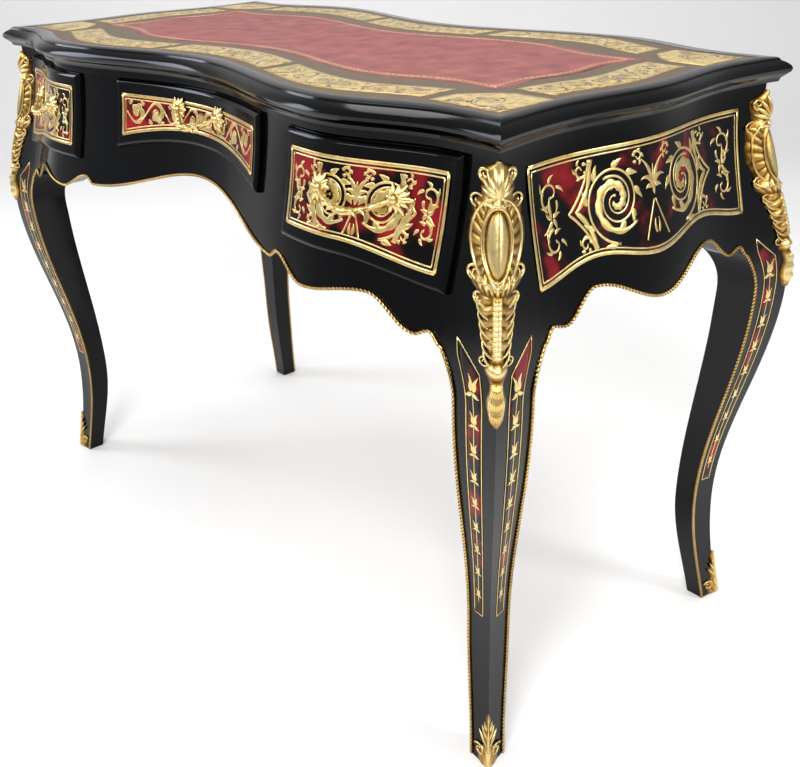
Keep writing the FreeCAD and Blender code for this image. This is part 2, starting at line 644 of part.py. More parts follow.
def make_beads(nodes):
    """Brass beading along the lower edge of each apron and down the two legs beside it."""
    for name, hand in (("front", -1), ("back", 1)):
        strips = [laid_bead(lines, lambda x, z: Vector(x, hand * front_depth(x, swell(z) + BEAD_GAP), z),
                            FORWARD * (hand * BEAD_RISE)) for lines in bead_lines(*FRONT_SHAPE)]
        nodes[name + "_bead"] = Part.makeCompound(strips)
    for name, hand in (("left", -1), ("right", 1)):
        strips = [laid_bead(lines, lambda y, z: Vector(hand * side_width(y, swell(z) + BEAD_GAP), y, z),
                            SIDEWAYS * (hand * BEAD_RISE)) for lines in bead_lines(*SIDE_SHAPE)]
        nodes[name + "_bead"] = Part.makeCompound(strips)


def end_panel_prism():
    """Prism of the end marquetry: level top, splayed ends, scalloped foot."""
    top_half = END_MARQUETRY_HALF_WIDTH
    foot_half = END_MARQUETRY_HALF_WIDTH + END_MARQUETRY_SPREAD
    foot = [(across, END_MARQUETRY_FOOT + END_MARQUETRY_WAVE * math.sin(math.pi * across / foot_half) ** 2)
            for across in steps(-foot_half, foot_half, 2 * EDGE_STEPS)]
    corners = [foot[-1], (top_half, END_MARQUETRY_TOP), (-top_half, END_MARQUETRY_TOP), foot[0]]
    edges = polygon_edges([at_end(y, z) for y, z in corners])
    face = closed_face(edges + [smooth_edge([at_end(y, z) for y, z in foot])])
    return face.extrude(SIDEWAYS * (2 * REACH))


def strip_prism(corner, hand, placed, along):
    """Prism of one inlaid strip of a leg, with its slanted top."""
    inner, outer = [], []
    for share, z in zip(steps(0, 1, LEG_STEPS), steps(STRIP_FOOT, STRIP_TOP, LEG_STEPS)):
        low = z - STRIP_SLANT * share
        inner.append((corner + swell(z) - leg_width(z) * (1 - STRIP_INNER_SHARE), z))
        outer.append((corner + swell(low) - leg_width(low) * STRIP_OUTER_SHARE, low))
    inner = [placed(hand * across, z) for across, z in inner]
    outer = [placed(hand * across, z) for across, z in outer]
    return band(inner, outer).extrude(along * (2 * REACH))


def make_marquetry(faces, nodes):
    """Brass and shell marquetry on the two ends, the back and the legs."""
    front, right, back, left = faces
    rise = MARQUETRY_THICKNESS
    end_panel = end_panel_prism()
    nodes["left_marquetry"] = laid_on(end_panel, left, SIDEWAYS * -rise)
    nodes["right_marquetry"] = laid_on(end_panel, right, SIDEWAYS * rise)
    panels = []
    for outline in DRAWERS.values():
        prism = closed_face(outline(-PANEL_SIDE_MARGIN, -PANEL_TOP_MARGIN)).extrude(FORWARD * (2 * REACH))
        panels += laid_on(prism, back, FORWARD * rise).Solids
    nodes["back_marquetry"] = Part.makeCompound(panels)
    strips = []
    for hand in (-1, 1):
        long_strip = strip_prism(CORNER_HALF_WIDTH, hand, at_front, FORWARD)
        end_strip = strip_prism(CORNER_HALF_DEPTH, hand, at_end, SIDEWAYS)
        strips += laid_on(long_strip, front, FORWARD * -rise).Solids
        strips += laid_on(long_strip, back, FORWARD * rise).Solids
        strips += laid_on(end_strip, left, SIDEWAYS * -rise).Solids
        strips += laid_on(end_strip, right, SIDEWAYS * rise).Solids
    nodes["leg_marquetry"] = Part.makeCompound(strips)


def main():
    nodes = {}
    outer = envelope(0)
    inner = envelope(-BOARD)
    faces = surfaces(SEAT_GAP)
    drawer_solid = envelope(LIP)
    drawer_face = surfaces(LIP + SEAT_GAP)[0]
    drawer_outer = envelope(LIP + MARQUETRY_THICKNESS + 2 * SEAT_GAP)
    holes = bearer_screws(SCREW_RADIUS + SCREW_CLEARANCE, False)
    make_top(holes, nodes)
    make_frame(outer, inner, nodes)
    make_bearers(inner, holes, nodes)
    make_runners(inner, nodes)
    for name in DRAWERS:
        make_drawer(name, drawer_solid, drawer_face, drawer_outer, nodes)
    make_marquetry(faces, nodes)
    make_beads(nodes)
    make_mounts(faces, nodes)
    os.makedirs("parts", exist_ok=True)
    for name, shape in nodes.items():
        print(name, len(shape.Solids), round(shape.Volume), shape.isValid())
        shape.exportStep("parts/" + name + ".step")


main()
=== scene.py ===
import bmesh
import bpy
import json
import math
import numpy as np
from mathutils import Matrix, Vector

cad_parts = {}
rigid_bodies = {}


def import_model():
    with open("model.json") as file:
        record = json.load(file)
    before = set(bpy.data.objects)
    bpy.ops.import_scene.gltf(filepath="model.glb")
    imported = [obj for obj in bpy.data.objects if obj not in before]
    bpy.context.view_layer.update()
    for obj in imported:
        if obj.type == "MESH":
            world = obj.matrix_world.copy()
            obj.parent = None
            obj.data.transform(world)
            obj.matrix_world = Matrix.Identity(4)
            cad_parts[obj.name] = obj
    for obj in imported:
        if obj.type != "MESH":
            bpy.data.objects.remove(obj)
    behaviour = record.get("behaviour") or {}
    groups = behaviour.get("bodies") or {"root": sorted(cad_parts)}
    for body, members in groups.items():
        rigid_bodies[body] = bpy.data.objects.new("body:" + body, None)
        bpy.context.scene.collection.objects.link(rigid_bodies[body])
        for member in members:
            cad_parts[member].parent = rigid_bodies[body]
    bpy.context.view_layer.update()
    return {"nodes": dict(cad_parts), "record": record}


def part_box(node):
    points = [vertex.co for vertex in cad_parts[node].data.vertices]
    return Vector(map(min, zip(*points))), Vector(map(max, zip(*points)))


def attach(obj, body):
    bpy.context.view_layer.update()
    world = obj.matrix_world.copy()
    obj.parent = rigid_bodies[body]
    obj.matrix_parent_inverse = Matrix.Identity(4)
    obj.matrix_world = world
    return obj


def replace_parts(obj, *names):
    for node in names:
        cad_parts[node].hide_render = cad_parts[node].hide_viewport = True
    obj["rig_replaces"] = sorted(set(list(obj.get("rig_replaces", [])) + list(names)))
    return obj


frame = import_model()

MM = 0.001

# Plan of the top and sweep of the frieze, as the frame was built, in metres
DESK_HEIGHT = 0.780
CORNER_HALF_WIDTH = 0.537
CORNER_HALF_DEPTH = 0.2365
FRONT_WAVE = ((0, -0.0195), (0.568, 0.0345), (0.885, -0.004), (1, 0))
SIDE_WAVE = ((0, 0.0025), (0.57, -0.0115), (1, 0))
CARCASS_TOP = 0.752
KNEE_HEIGHT = 0.500
ANKLE_HEIGHT = 0.180
# Outward sweep at the frieze, knee, ankle and foot
SWEEP = (-0.005, 0.036, -0.0055, 0.012)
LEG_TOP = 0.552
# (height, width) of a leg's face; lower edges of the aprons as shares from the middle to the leg and up
LEG_WIDTHS = ((0, 0.030), (ANKLE_HEIGHT, 0.0365), (KNEE_HEIGHT, 0.062), (LEG_TOP, 0.080))
FRONT_ARCH_RISE = 0.078
FRONT_EDGE_SHARES = ((0.0, 1.0), (0.455, 0.48), (0.49, 0.60), (0.612, 0.32),
                     (0.80, 0.49), (0.93, 0.07), (0.965, 0.15), (1.0, 0.0))
SIDE_ARCH_RISE = 0.038
SIDE_EDGE_SHARES = ((0.0, 0.15), (0.55, 1.0), (0.81, 0.24), (0.92, 0.36), (1.0, 0.0))

# Drawer fronts and the thin sheets on the surfaces
LIP = 9 * MM
DRAWER_ROUND = 6.5 * MM
DRAWER_BACK_PLANE = 0.200
CENTRE_ARCH = 20 * MM
SIDE_DROP = 17 * MM
SIDE_DROP_SHARE = 0.40
END_WAVE = 14 * MM
MARQUETRY = 0.6 * MM
SEAT_GAP = 0.05 * MM

DRAWERS = ("left", "centre", "right")
HANDS = ((-1, "left"), (1, "right"))
FORWARD = np.array([0, -1.0, 0])
MERGE = 1e-6
SMOOTH_ANGLE = math.radians(32)
BLOCK_ANGLE = math.radians(50)


def ease(start, end, share):
    """Half a cosine wave from start to end."""
    return start + (end - start) * (1 - np.cos(np.pi * share)) / 2


def lift(start, end, share):
    """Quarter of a cosine wave from start to end, level only at the start."""
    return start + (end - start) * (1 - np.cos(np.pi * share / 2))


def wave(at, knots):
    """Values along (place, value) knots, joined by half waves, the last two by a quarter wave."""
    at = np.asarray(at, float)
    places, values = np.array(knots, float).T
    span = np.clip(np.searchsorted(places, at, side="right") - 1, 0, len(knots) - 2)
    share = np.clip((at - places[span]) / (places[span + 1] - places[span]), 0, 1)
    smooth = ease(values[span], values[span + 1], share)
    last = lift(values[span], values[span + 1], share)
    return np.where(span == len(knots) - 2, last, smooth)


def front_depth(x, grow):
    """Serpentine front line: corner depth plus the wave over the share of the half width."""
    return CORNER_HALF_DEPTH + grow + wave(np.abs(x) / (CORNER_HALF_WIDTH + grow), FRONT_WAVE)


def side_width(y, grow):
    """Line of the ends: corner width plus the wave over the share of the half depth."""
    return CORNER_HALF_WIDTH + grow + wave(np.abs(y) / (CORNER_HALF_DEPTH + grow), SIDE_WAVE)


def swell(z):
    """Outward sweep at height z: half waves from frieze to knee to ankle, a quarter wave to the foot."""
    z = np.asarray(z, float)
    frieze, knee, ankle, foot = SWEEP
    upper = ease(frieze, knee, np.clip((CARCASS_TOP - z) / (CARCASS_TOP - KNEE_HEIGHT), 0, 1))
    middle = ease(knee, ankle, (KNEE_HEIGHT - z) / (KNEE_HEIGHT - ANKLE_HEIGHT))
    lower = lift(ankle, foot, (ANKLE_HEIGHT - z) / ANKLE_HEIGHT)
    return np.where(z >= KNEE_HEIGHT, upper, np.where(z >= ANKLE_HEIGHT, middle, lower))


def leg_width(z):
    """Width of a leg's face at height z."""
    return wave(z, LEG_WIDTHS)


POST_X = float(CORNER_HALF_WIDTH + swell(LEG_TOP) - LEG_WIDTHS[-1][1])
POST_Y = float(CORNER_HALF_DEPTH + swell(LEG_TOP) - LEG_WIDTHS[-1][1])


def on_front(hand):
    """Maps (x, z, out) to the front (hand -1) or back (hand 1) surface, out metres proud of it."""
    return lambda x, z, out: np.stack([x, hand * front_depth(x, swell(z) + out), z], -1)


def on_drawer(x, z, out):
    """The front surface of the drawer blocks, a lip proud of the frieze."""
    return on_front(-1)(x, z, out + LIP)


def on_end(hand):
    """Maps (y, z, out) to the left (hand -1) or right (hand 1) end surface, out metres proud of it."""
    return lambda y, z, out: np.stack([hand * side_width(y, swell(z) + out), y, z], -1)


# Colours and materials
def linear(code):
    """sRGB hex colour as linear RGBA."""
    parts = [int(code[i:i + 2], 16) / 255 for i in (1, 3, 5)]
    return tuple(p / 12.92 if p <= 0.04045 else ((p + 0.055) / 1.055) ** 2.4 for p in parts) + (1.0,)


def add(tree, kind, inputs, feeds=None, stops=(), **settings):
    """Adds a shader node: inputs take values or sockets, settings are the node's own.

    Its first output goes to the socket feeds, and stops are a colour ramp's (place, hex colour) pairs."""
    node = tree.nodes.new(kind)
    for key, value in settings.items():
        setattr(node, key, value)
    for key, value in inputs.items():
        if isinstance(value, bpy.types.NodeSocket):
            tree.links.new(value, node.inputs[key])
        else:
            node.inputs[key].default_value = value
    if feeds is not None:
        tree.links.new(node.outputs[0], feeds)
    if stops:
        elements = node.color_ramp.elements
        elements.remove(elements[1])
        elements[0].position, elements[0].color = stops[0][0], linear(stops[0][1])
        for place, code in stops[1:]:
            elements.new(place).color = linear(code)
    return node


def new_material(name, constants):
    """Material with constants on its shader. Gives it, its tree, shader inputs and metre coordinates."""
    material = bpy.data.materials.new(name)
    material.use_nodes = True
    tree = material.node_tree
    shader = tree.nodes["Principled BSDF"].inputs
    for key, value in constants.items():
        shader[key.replace("_", " ")].default_value = value
    place = add(tree, "ShaderNodeTexCoord", {}).outputs["Object"]
    return material, tree, shader, place


def finish(name, clouds, stops, polish=None, ripple=None, pebble=None, **constants):
    """Cloudy finish. Sizes are of the noise's features, in metres.

    clouds is (size, detail) of the tint, polish (size, lowest, highest) of the roughness, ripple and pebble
    (size, strength, depth) of a bump from smooth noise or from round cells."""
    material, tree, shader, place = new_material(name, constants)
    tint = {"Vector": place, "Scale": 1 / clouds[0], "Detail": clouds[1]}
    cloud = add(tree, "ShaderNodeTexNoise", tint).outputs["Fac"]
    add(tree, "ShaderNodeValToRGB", {"Fac": cloud}, shader["Base Color"], stops)
    if polish:
        haze = add(tree, "ShaderNodeTexNoise", {"Vector": place, "Scale": 1 / polish[0], "Detail": 4})
        gloss = {"Value": haze.outputs["Fac"], "To Min": polish[1], "To Max": polish[2]}
        add(tree, "ShaderNodeMapRange", gloss, shader["Roughness"])
    if ripple or pebble:
        size, strength, depth = ripple or pebble
        if ripple:
            swells = add(tree, "ShaderNodeTexNoise", {"Vector": place, "Scale": 1 / size, "Detail": 2})
        else:
            swells = add(tree, "ShaderNodeTexVoronoi", {"Vector": place, "Scale": 1 / size})
        bump = {"Height": swells.outputs[0], "Strength": strength, "Distance": depth}
        add(tree, "ShaderNodeBump", bump, shader["Normal"])
    return material


def gilt_brass():
    """Cast brass, chased and gilt: bright on rubbed tops, brown where the relief attribute is low, as patina
    in the hollows and as painted shade on the undersides of tubes.
    """
    material, tree, shader, place = new_material("gilt_brass", {"Metallic": 1.0})
    relief = add(tree, "ShaderNodeAttribute", {}, attribute_name="relief").outputs["Fac"]
    speckle = add(tree, "ShaderNodeTexNoise", {"Vector": place, "Scale": 1 / (6 * MM), "Detail": 4})
    height = add(tree, "ShaderNodeMath", {0: speckle.outputs["Fac"], 1: 0.45, 2: relief},
                 operation="MULTIPLY_ADD")
    add(tree, "ShaderNodeValToRGB", {"Fac": height.outputs[0]}, shader["Base Color"],
        ((0.2, "#2E1D0A"), (0.5, "#86622A"), (0.8, "#C39D55"), (1.0, "#E4CB8B")))
    haze = add(tree, "ShaderNodeTexNoise", {"Vector": place, "Scale": 1 / (4 * MM), "Detail": 4})
    add(tree, "ShaderNodeMapRange", {"Value": haze.outputs["Fac"], "To Min": 0.2, "To Max": 0.42},
        shader["Roughness"])
    grit = add(tree, "ShaderNodeTexNoise", {"Vector": place, "Scale": 1 / (1.2 * MM), "Detail": 4})
    add(tree, "ShaderNodeBump", {"Height": grit.outputs["Fac"], "Strength": 0.15, "Distance": 0.3 * MM},
        shader["Normal"])
    return material


def red_shell(name, dark_share):
    """Tortoiseshell veneer over red: glossy, red glowing through dark brown to black clouds."""
    stops = ((dark_share - 0.06, "#040203"), (dark_share, "#2C070A"), (dark_share + 0.07, "#651015"),
             (dark_share + 0.22, "#8C181E"))
    return finish(name, (45 * MM, 2), stops, Roughness=0.16, IOR=1.3)


def wood(name, dark, pale, stretch, gloss):
    """Varnished veneer or planed board: streaks stretched along one axis, in two browns."""
    material, tree, shader, place = new_material(name, {})
    along = add(tree, "ShaderNodeMapping", {"Vector": place, "Scale": stretch}).outputs["Vector"]
    grain = {"Vector": along, "Scale": 1 / (6 * MM), "Detail": 6}
    streaks = add(tree, "ShaderNodeTexNoise", grain).outputs["Fac"]
    add(tree, "ShaderNodeValToRGB", {"Fac": streaks}, shader["Base Color"], ((0.3, dark), (0.7, pale)))
    add(tree, "ShaderNodeMapRange", {"Value": streaks, "To Min": gloss, "To Max": gloss + 0.15},
        shader["Roughness"])
    add(tree, "ShaderNodeBump", {"Height": streaks, "Strength": 0.08, "Distance": 0.2 * MM}, shader["Normal"])
    return material


MATERIALS = {
    # Black lacquer rubbed down and buffed on wood: deep black, mirror gloss, faint ripple and hazy polish
    "lacquer": finish("black_lacquer", (0.12, 4), ((0.3, "#020203"), (0.7, "#050607")),
                      polish=(50 * MM, 0.07, 0.16), ripple=(30 * MM, 0.03, MM), IOR=1.3),
    "gilt": gilt_brass(),
    # Sheet brass sawn out and let into veneer, varnished over: pale gold, fine scratches, soft gloss
    "brass": finish("brass_inlay", (10 * MM, 4), ((0.3, "#D9B662"), (0.7, "#F3DD9B")),
                    polish=(8 * MM, 0.22, 0.4), Metallic=1.0, Coat_Weight=0.5, Coat_Roughness=0.08),
    "shell": red_shell("red_shell", 0.47),
    # End panels: the same shell with more black, as painted shade on the shaded ends
    "shell_painted_shade": red_shell("shell_painted_shade", 0.58),
    "strip_shell": red_shell("strip_shell", 0.52),
    # Gold leaf laid on the border under varnish: pale gold, worn through to brown in small patches, satin
    "plate": finish("gilt_plate", (7 * MM, 6), ((0.3, "#8A703C"), (0.45, "#BCA163"), (0.7, "#D3BC7E")),
                    polish=(12 * MM, 0.3, 0.45), Metallic=0.45),
    # Dyed hide skiver glued flat: brick red, cloudy wear, fine pebble grain, matt
    "leather": finish("red_leather", (30 * MM, 8), ((0.3, "#6A2B28"), (0.5, "#7E3935"), (0.7, "#8F4842")),
                      polish=(50 * MM, 0.42, 0.62), pebble=(1.6 * MM, 0.35, 0.3 * MM)),
    "border": wood("border_veneer", "#3A2812", "#5A4222", (0.25, 1.0, 1.0), 0.35),
    "dark_inlay": wood("dark_inlay", "#2A1B0D", "#46311A", (1.0, 1.0, 1.0), 0.2),
    "oak": wood("oak_lining", "#8A6A42", "#B08D5E", (1.0, 0.12, 1.0), 0.5),
    # Plain turned steel of screws and bolts: grey, lightly brushed
    "steel": finish("steel", (2 * MM, 4), ((0.3, "#77787A"), (0.7, "#9A9B9D")), Metallic=1.0, Roughness=0.4),
    # Matt studio paint: pale, with a barely visible mottle
    "floor": finish("floor_paint", (0.6, 4), ((0.3, "#F1F0EE"), (0.7, "#F5F4F2")), Roughness=0.9),
}


# Mesh making
def grid_faces(rows, columns, wrap, first):
    """Quads of a grid of rows by columns points; wrap joins the last column to the first."""
    index = np.arange(rows * columns).reshape(rows, columns) + first
    if wrap:
        index = np.concatenate([index, index[:, :1]], 1)
    return np.stack([index[:-1, :-1], index[1:, :-1], index[1:, 1:], index[:-1, 1:]], -1).reshape(-1, 4)


def make_piece(name, grids, material, body, nodes=()):
    """One object from grids, each (points, wrap, relief), relief a 0 to 1 array or one number."""
    points, faces, relief, first = [], [], [], 0
    for grid, wrap, high in grids:
        rows, columns = grid.shape[:2]
        points.append(grid.reshape(-1, 3))
        faces.append(grid_faces(rows, columns, wrap, first))
        relief.append(np.broadcast_to(np.asarray(high, float), (rows, columns)).reshape(-1))
        first += rows * columns
    mesh = bpy.data.meshes.new(name)
    mesh.from_pydata(np.concatenate(points), [], np.concatenate(faces))
    layer = mesh.attributes.new("relief", "FLOAT", "POINT")
    layer.data.foreach_set("value", np.concatenate(relief).astype(np.float32))
    tidy = bmesh.new()
    tidy.from_mesh(mesh)
    bmesh.ops.remove_doubles(tidy, verts=tidy.verts, dist=MERGE)
    bmesh.ops.dissolve_degenerate(tidy, edges=tidy.edges, dist=MERGE / 10)
    bmesh.ops.recalc_face_normals(tidy, faces=tidy.faces)
    tidy.to_mesh(mesh)
    tidy.free()
    mesh.polygons.foreach_set("use_smooth", [True] * len(mesh.polygons))
    return place_piece(bpy.data.objects.new(name, mesh), material, body, nodes)


def place_piece(piece, material, body, nodes):
    """Links a piece, gives it its finish and body, and names the CAD nodes that it stands for."""
    piece.data.materials.clear()
    piece.data.materials.append(MATERIALS[material])
    bpy.context.scene.collection.objects.link(piece)
    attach(piece, body)
    if nodes:
        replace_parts(piece, *nodes)
    return piece


def refine_node(node, material):
    """Copy of a CAD node with its triangles merged and smooth shading that breaks at sharp edges."""
    mesh = frame["nodes"][node].data.copy()
    tidy = bmesh.new()
    tidy.from_mesh(mesh)
    bmesh.ops.remove_doubles(tidy, verts=tidy.verts, dist=10 * MERGE)
    tidy.to_mesh(mesh)
    tidy.free()
    if mesh.attributes.get("custom_normal"):
        mesh.attributes.remove(mesh.attributes["custom_normal"])
    mesh.polygons.foreach_set("use_smooth", [True] * len(mesh.polygons))
    mesh.set_sharp_from_angle(angle=SMOOTH_ANGLE)
    piece = bpy.data.objects.new("finished_" + node, mesh)
    return place_piece(piece, material, BODY_OF[node], (node,))


BODY_OF = {node: body for body, nodes in frame["record"]["behaviour"]["bodies"].items() for node in nodes}


def closed_sweep(loops):
    """Rings of points closed at both ends by shrinking a last ring to its centre."""
    first = np.repeat(loops[:1].mean(1, keepdims=True), loops.shape[1], 1)
    last = np.repeat(loops[-1:].mean(1, keepdims=True), loops.shape[1], 1)
    return np.concatenate([first, loops, last])


def unit(vectors):
    """Vectors brought to length 1."""
    return vectors / np.maximum(np.linalg.norm(vectors, axis=-1, keepdims=True), 1e-12)


def tube(path, radius, upright, sides=10, lobes=0, lobe_depth=0.0, twist=0.0, flat=1.0):
    """Tube along path: rings of the given radius square to it, with lobes that twist along the length.

    upright is a direction that the path never runs along; rings are turned by it and flattened along it."""
    tangent = unit(np.gradient(path, axis=0))
    across = unit(np.cross(tangent, upright))
    up = np.cross(across, tangent)
    travel = np.concatenate([[0], np.cumsum(np.linalg.norm(np.diff(path, axis=0), axis=1))])
    angle = np.linspace(0, 2 * np.pi, sides, endpoint=False)
    shape = 1 + lobe_depth * np.cos(lobes * angle[None, :] + twist * travel[:, None])
    size = np.broadcast_to(radius, travel.shape)[:, None] * shape
    rings = (path[:, None] + size[..., None] * (np.cos(angle)[None, :, None] * across[:, None]
                                               + flat * np.sin(angle)[None, :, None] * up[:, None]))
    return closed_sweep(rings)


def tube_with_painted_shade(path, radius, upright, sides=8, flat=1.0):
    """Tube with its relief level: bright on the side that faces upright, painted shade on the side
    underneath.
    """
    angle = np.linspace(0, 2 * np.pi, sides, endpoint=False)
    return tube(path, radius, upright, sides, flat=flat), True, 0.5 + 0.4 * np.sin(angle)


# Flat scroll ornament, drawn in the plane of a panel and then laid on its surface
HALF_PANEL = np.array([178.0, 58.0])
# Marks of a panel in mm on HALF_PANEL: the great spiral, the bracket beside it and the end's leaf spray
GREAT_PLACE, GREAT_RADIUS = (60, 2), 51
BRACKET_ENDS, BRACKET_REACH, BRACKET_BOW = (-50, 54), 128, 34
SPRAY_PLACE = (152, 0)
# (lean, length, bend, width share) along the stem; (x, z, radius, start, hand) of the tendrils
STEM_LEAVES = ((0.95, 19, 0.5, 1.4), (1.6, 11, 0.8, 1.0))
TENDRILS = ((152, 27, 20, -1.2, 1), (152, -28, 17, 1.6, -1), (106, 44, 11, 3.4, 1), (24, 46, 9, 0.2, 1),
            (108, -40, 10, 2.6, -1))
# (lean, length, bend) of the palmette; (direction, length) of the spray
PALMETTE_LEAVES = ((0.02, 44, -1.0), (0.10, 30, -2.0), (0.9, 15, -1.4))
SPRAY_LEAVES = ((1.1, 26), (0.2, 14), (-1.1, 24), (2.4, 15), (-2.4, 14))
# (inset, half width, rise) of the brass lines round a panel
BORDER_LINES = ((2.2 * MM, 2.1 * MM, 0.3 * MM), (7.2 * MM, 0.8 * MM, 0.25 * MM))
ORNAMENT_DROP = 14 * MM
ORNAMENT_INSET = 9 * MM
ORNAMENT_KEEP = 8.5 * MM
BRASS_WIDTH = 2.0 * MM
BRASS_RISE = 0.3 * MM
BRASS_LEVEL = 0.8


def spiral(centre, radius, turns, start, hand, width, count=56):
    """Spiral stem winding in: radius falls from full to a seventh, width tapers, then swells to a bud."""
    t = np.linspace(0, 1, count)
    angle = start + hand * turns * 2 * np.pi * t
    reach = radius * (1 - 0.85 * t ** 0.8)
    line = np.stack([centre[0] + reach * np.cos(angle), centre[1] + reach * np.sin(angle)], -1)
    bud = 0.8 * np.exp(-((t - 0.97) / 0.03) ** 2)
    return line, width * (1 - 0.55 * t + bud)


def leaf(base, angle, length, bend, width, count=12):
    """Curved leaf: a line that turns steadily by bend, with a sine width that is full near a third of it."""
    t = np.linspace(0, 1, count)
    heading = angle + bend * t
    steps = np.stack([np.cos(heading), np.sin(heading)], -1) * length / count
    line = np.asarray(base) + np.cumsum(steps, 0)
    return line, width * np.sin(np.pi * np.clip(t ** 0.6, 0, 1)) + 0.1 * width


def leafy_band(centre, radius, turns, start, hand, width):
    """Broad spiral leaf: a spiral whose width swells to the middle and is nicked like an acanthus edge."""
    count = 84
    line, _ = spiral(centre, radius, turns, start, hand, width, count)
    t = np.linspace(0, 1, count)
    nicks = 1 - 0.35 * np.abs(np.sin(9 * np.pi * t)) ** 3
    return line, width * np.sin(np.pi * np.clip(t, 0.02, 0.98)) ** 0.5 * nicks


def acanthus(centre, radius, start, hand, width):
    """Scroll: a spiral stem, a broad leaf in its turn, leaves outside it and a trefoil in its eye."""
    stem, stem_width = spiral(centre, radius, 1.45, start, hand, width)
    broad = leafy_band(centre, radius * 0.72, 0.8, start + hand * 0.9, hand, width * 1.5)
    marks = [(stem, stem_width), broad]
    for share in (0.03, 0.15, 0.27, 0.40):
        at = int(share * (len(stem) - 1))
        along = stem[at + 1] - stem[at]
        heading = math.atan2(along[1], along[0])
        length = radius * (0.62 - 0.35 * share)
        marks.append(leaf(stem[at], heading - hand * 0.75, length, hand * 1.3, width * 1.3))
        marks.append(leaf(stem[at], heading - hand * 1.5, length * 0.6, hand * 1.5, width))
    for turn in range(3):
        marks.append(leaf(centre, start + turn * 2 * np.pi / 3, radius * 0.24, 0.6, width))
    return marks


def panel_scrolls(half_width, half_height, width):
    """Marks of a panel: two great spirals about a tall palmette, brackets, and tendrils in the corners.

    They are drawn in units of HALF_PANEL and stretched to the half width; spirals keep round."""
    stretch = np.array([half_width, half_height]) / HALF_PANEL
    size = stretch[1]
    up = np.pi / 2
    spot = lambda x, z: np.array([x, z]) * stretch
    great, reach = spot(*GREAT_PLACE), GREAT_RADIUS * size
    marks = [spiral(great, reach, 1.9, -up, 1, 0.8 * width, 90),
             spiral(great, 0.62 * reach, 1.1, 1.0, 1, 0.7 * width),
             leafy_band(great, 0.84 * reach, 1.05, -2.4, 1, 3.0 * width),
             leafy_band(great, 0.47 * reach, 0.9, 0.4, 1, 2.3 * width)]
    stem = marks[0][0]
    for share in np.linspace(0.02, 0.5, 9):
        at = int(share * (len(stem) - 1))
        heading = math.atan2(*(stem[at + 1] - stem[at])[::-1])
        for lean, length, bend, wide in STEM_LEAVES:
            marks.append(leaf(stem[at], heading - lean, length * size, bend, wide * width))
    rise = np.linspace(*BRACKET_ENDS, 44)
    bow = BRACKET_REACH - BRACKET_BOW * np.abs(np.sin(np.pi * (rise + 2) / 118)) ** 0.8
    marks.append((np.stack([bow, rise], -1) * stretch, 0.8 * width))
    marks.append((np.stack([bow - 7 - 4 * np.cos(rise / 16), rise], -1) * stretch,
                  width * (0.9 + 0.7 * np.abs(np.sin(rise / 7)))))
    for x, z, round_size, start, hand in TENDRILS:
        centre, radius = spot(x, z), round_size * size
        marks.append(spiral(centre, radius, 0.95, start, hand, 0.85 * width, 40))
        for turn in range(5):
            angle = start + 1.25 * turn
            base = centre + 0.55 * radius * np.array([math.cos(angle), math.sin(angle)])
            marks.append(leaf(base, angle + 0.5, 0.8 * radius, 1.2, 0.9 * width))
    for lean, length, bend in PALMETTE_LEAVES:
        marks.append(leaf(spot(1.5, 6), up - lean, length * size, bend, 1.2 * width))
    marks.append((np.linspace(spot(1, -8), spot(20, -54), 14), 0.55 * width))
    marks.append(leaf(spot(1, -50), up - 0.5, 20 * size, 0.8, 0.9 * width))
    for angle, length in SPRAY_LEAVES:
        marks.append(leaf(spot(*SPRAY_PLACE), angle, length * size, 0.8, 1.1 * width))
    middle = leaf(spot(0, -6), up, 40 * size, 0, 1.3 * width)
    return marks + mirrored(marks) + [middle]


def mirrored(marks):
    """The same marks on the other side of the middle."""
    return [(line * [-1, 1], wide) for line, wide in marks]


def vine(length, height, cells, width):
    """Running vine of acanthus scrolls from the middle outwards, joined by a waving stem, and its mirror."""
    cell = length / cells
    radius = min(0.40 * height, 0.46 * cell)
    marks = []
    t = np.linspace(0, 1, 24)
    for index in range(cells):
        side = 1 if index % 2 == 0 else -1
        middle = np.array([(index + 0.5) * cell, 0.0])
        marks += acanthus(middle, radius, -side * np.pi / 2 + np.pi, side, width)
        arch = np.stack([(index + t) * cell, side * 0.44 * height * np.sin(np.pi * t)], -1)
        marks.append((arch, width * (0.55 + 0.3 * np.sin(np.pi * t))))
        for corner in (-1, 1):
            base = middle + [corner * radius * 0.72, -side * radius * 0.78]
            for spread in (-0.7, 0.0, 0.7):
                heading = math.atan2(-side, corner) + spread
                marks.append(leaf(base, heading, height * 0.2, 0.7 * corner, width * 0.9))
    for rise in (-1, 1):
        for spread in (-0.8, 0.0, 0.8):
            base, heading = (0, rise * height * 0.08), rise * (np.pi / 2 + spread)
            marks.append(leaf(base, heading, height * 0.3, -spread, width * 0.9))
    return marks + mirrored(marks)


def ribbon(line, wide, surface, base, rise):
    """Low domed band along a line on a surface: five points across, lifted by rise in the middle."""
    along = unit(np.gradient(line, axis=0))
    normal = np.stack([-along[:, 1], along[:, 0]], -1)
    across = np.array([-1, -0.8, 0, 0.8, 1])
    lifts = base + rise * np.array([0, 0.75, 1, 0.75, 0])
    offset = np.broadcast_to(wide, len(line))[:, None] * across
    place = line[:, None] + normal[:, None] * offset[..., None]
    return closed_sweep(surface(place[..., 0], place[..., 1], np.broadcast_to(lifts, place.shape[:2])))


def inside(line, low, high, foot):
    """Keeps a line within a panel: across between low and high, above its foot line."""
    held = line.copy()
    held[:, 0] = np.clip(held[:, 0], low[0], high[0])
    held[:, 1] = np.clip(held[:, 1], foot(held[:, 0]), high[1])
    return held


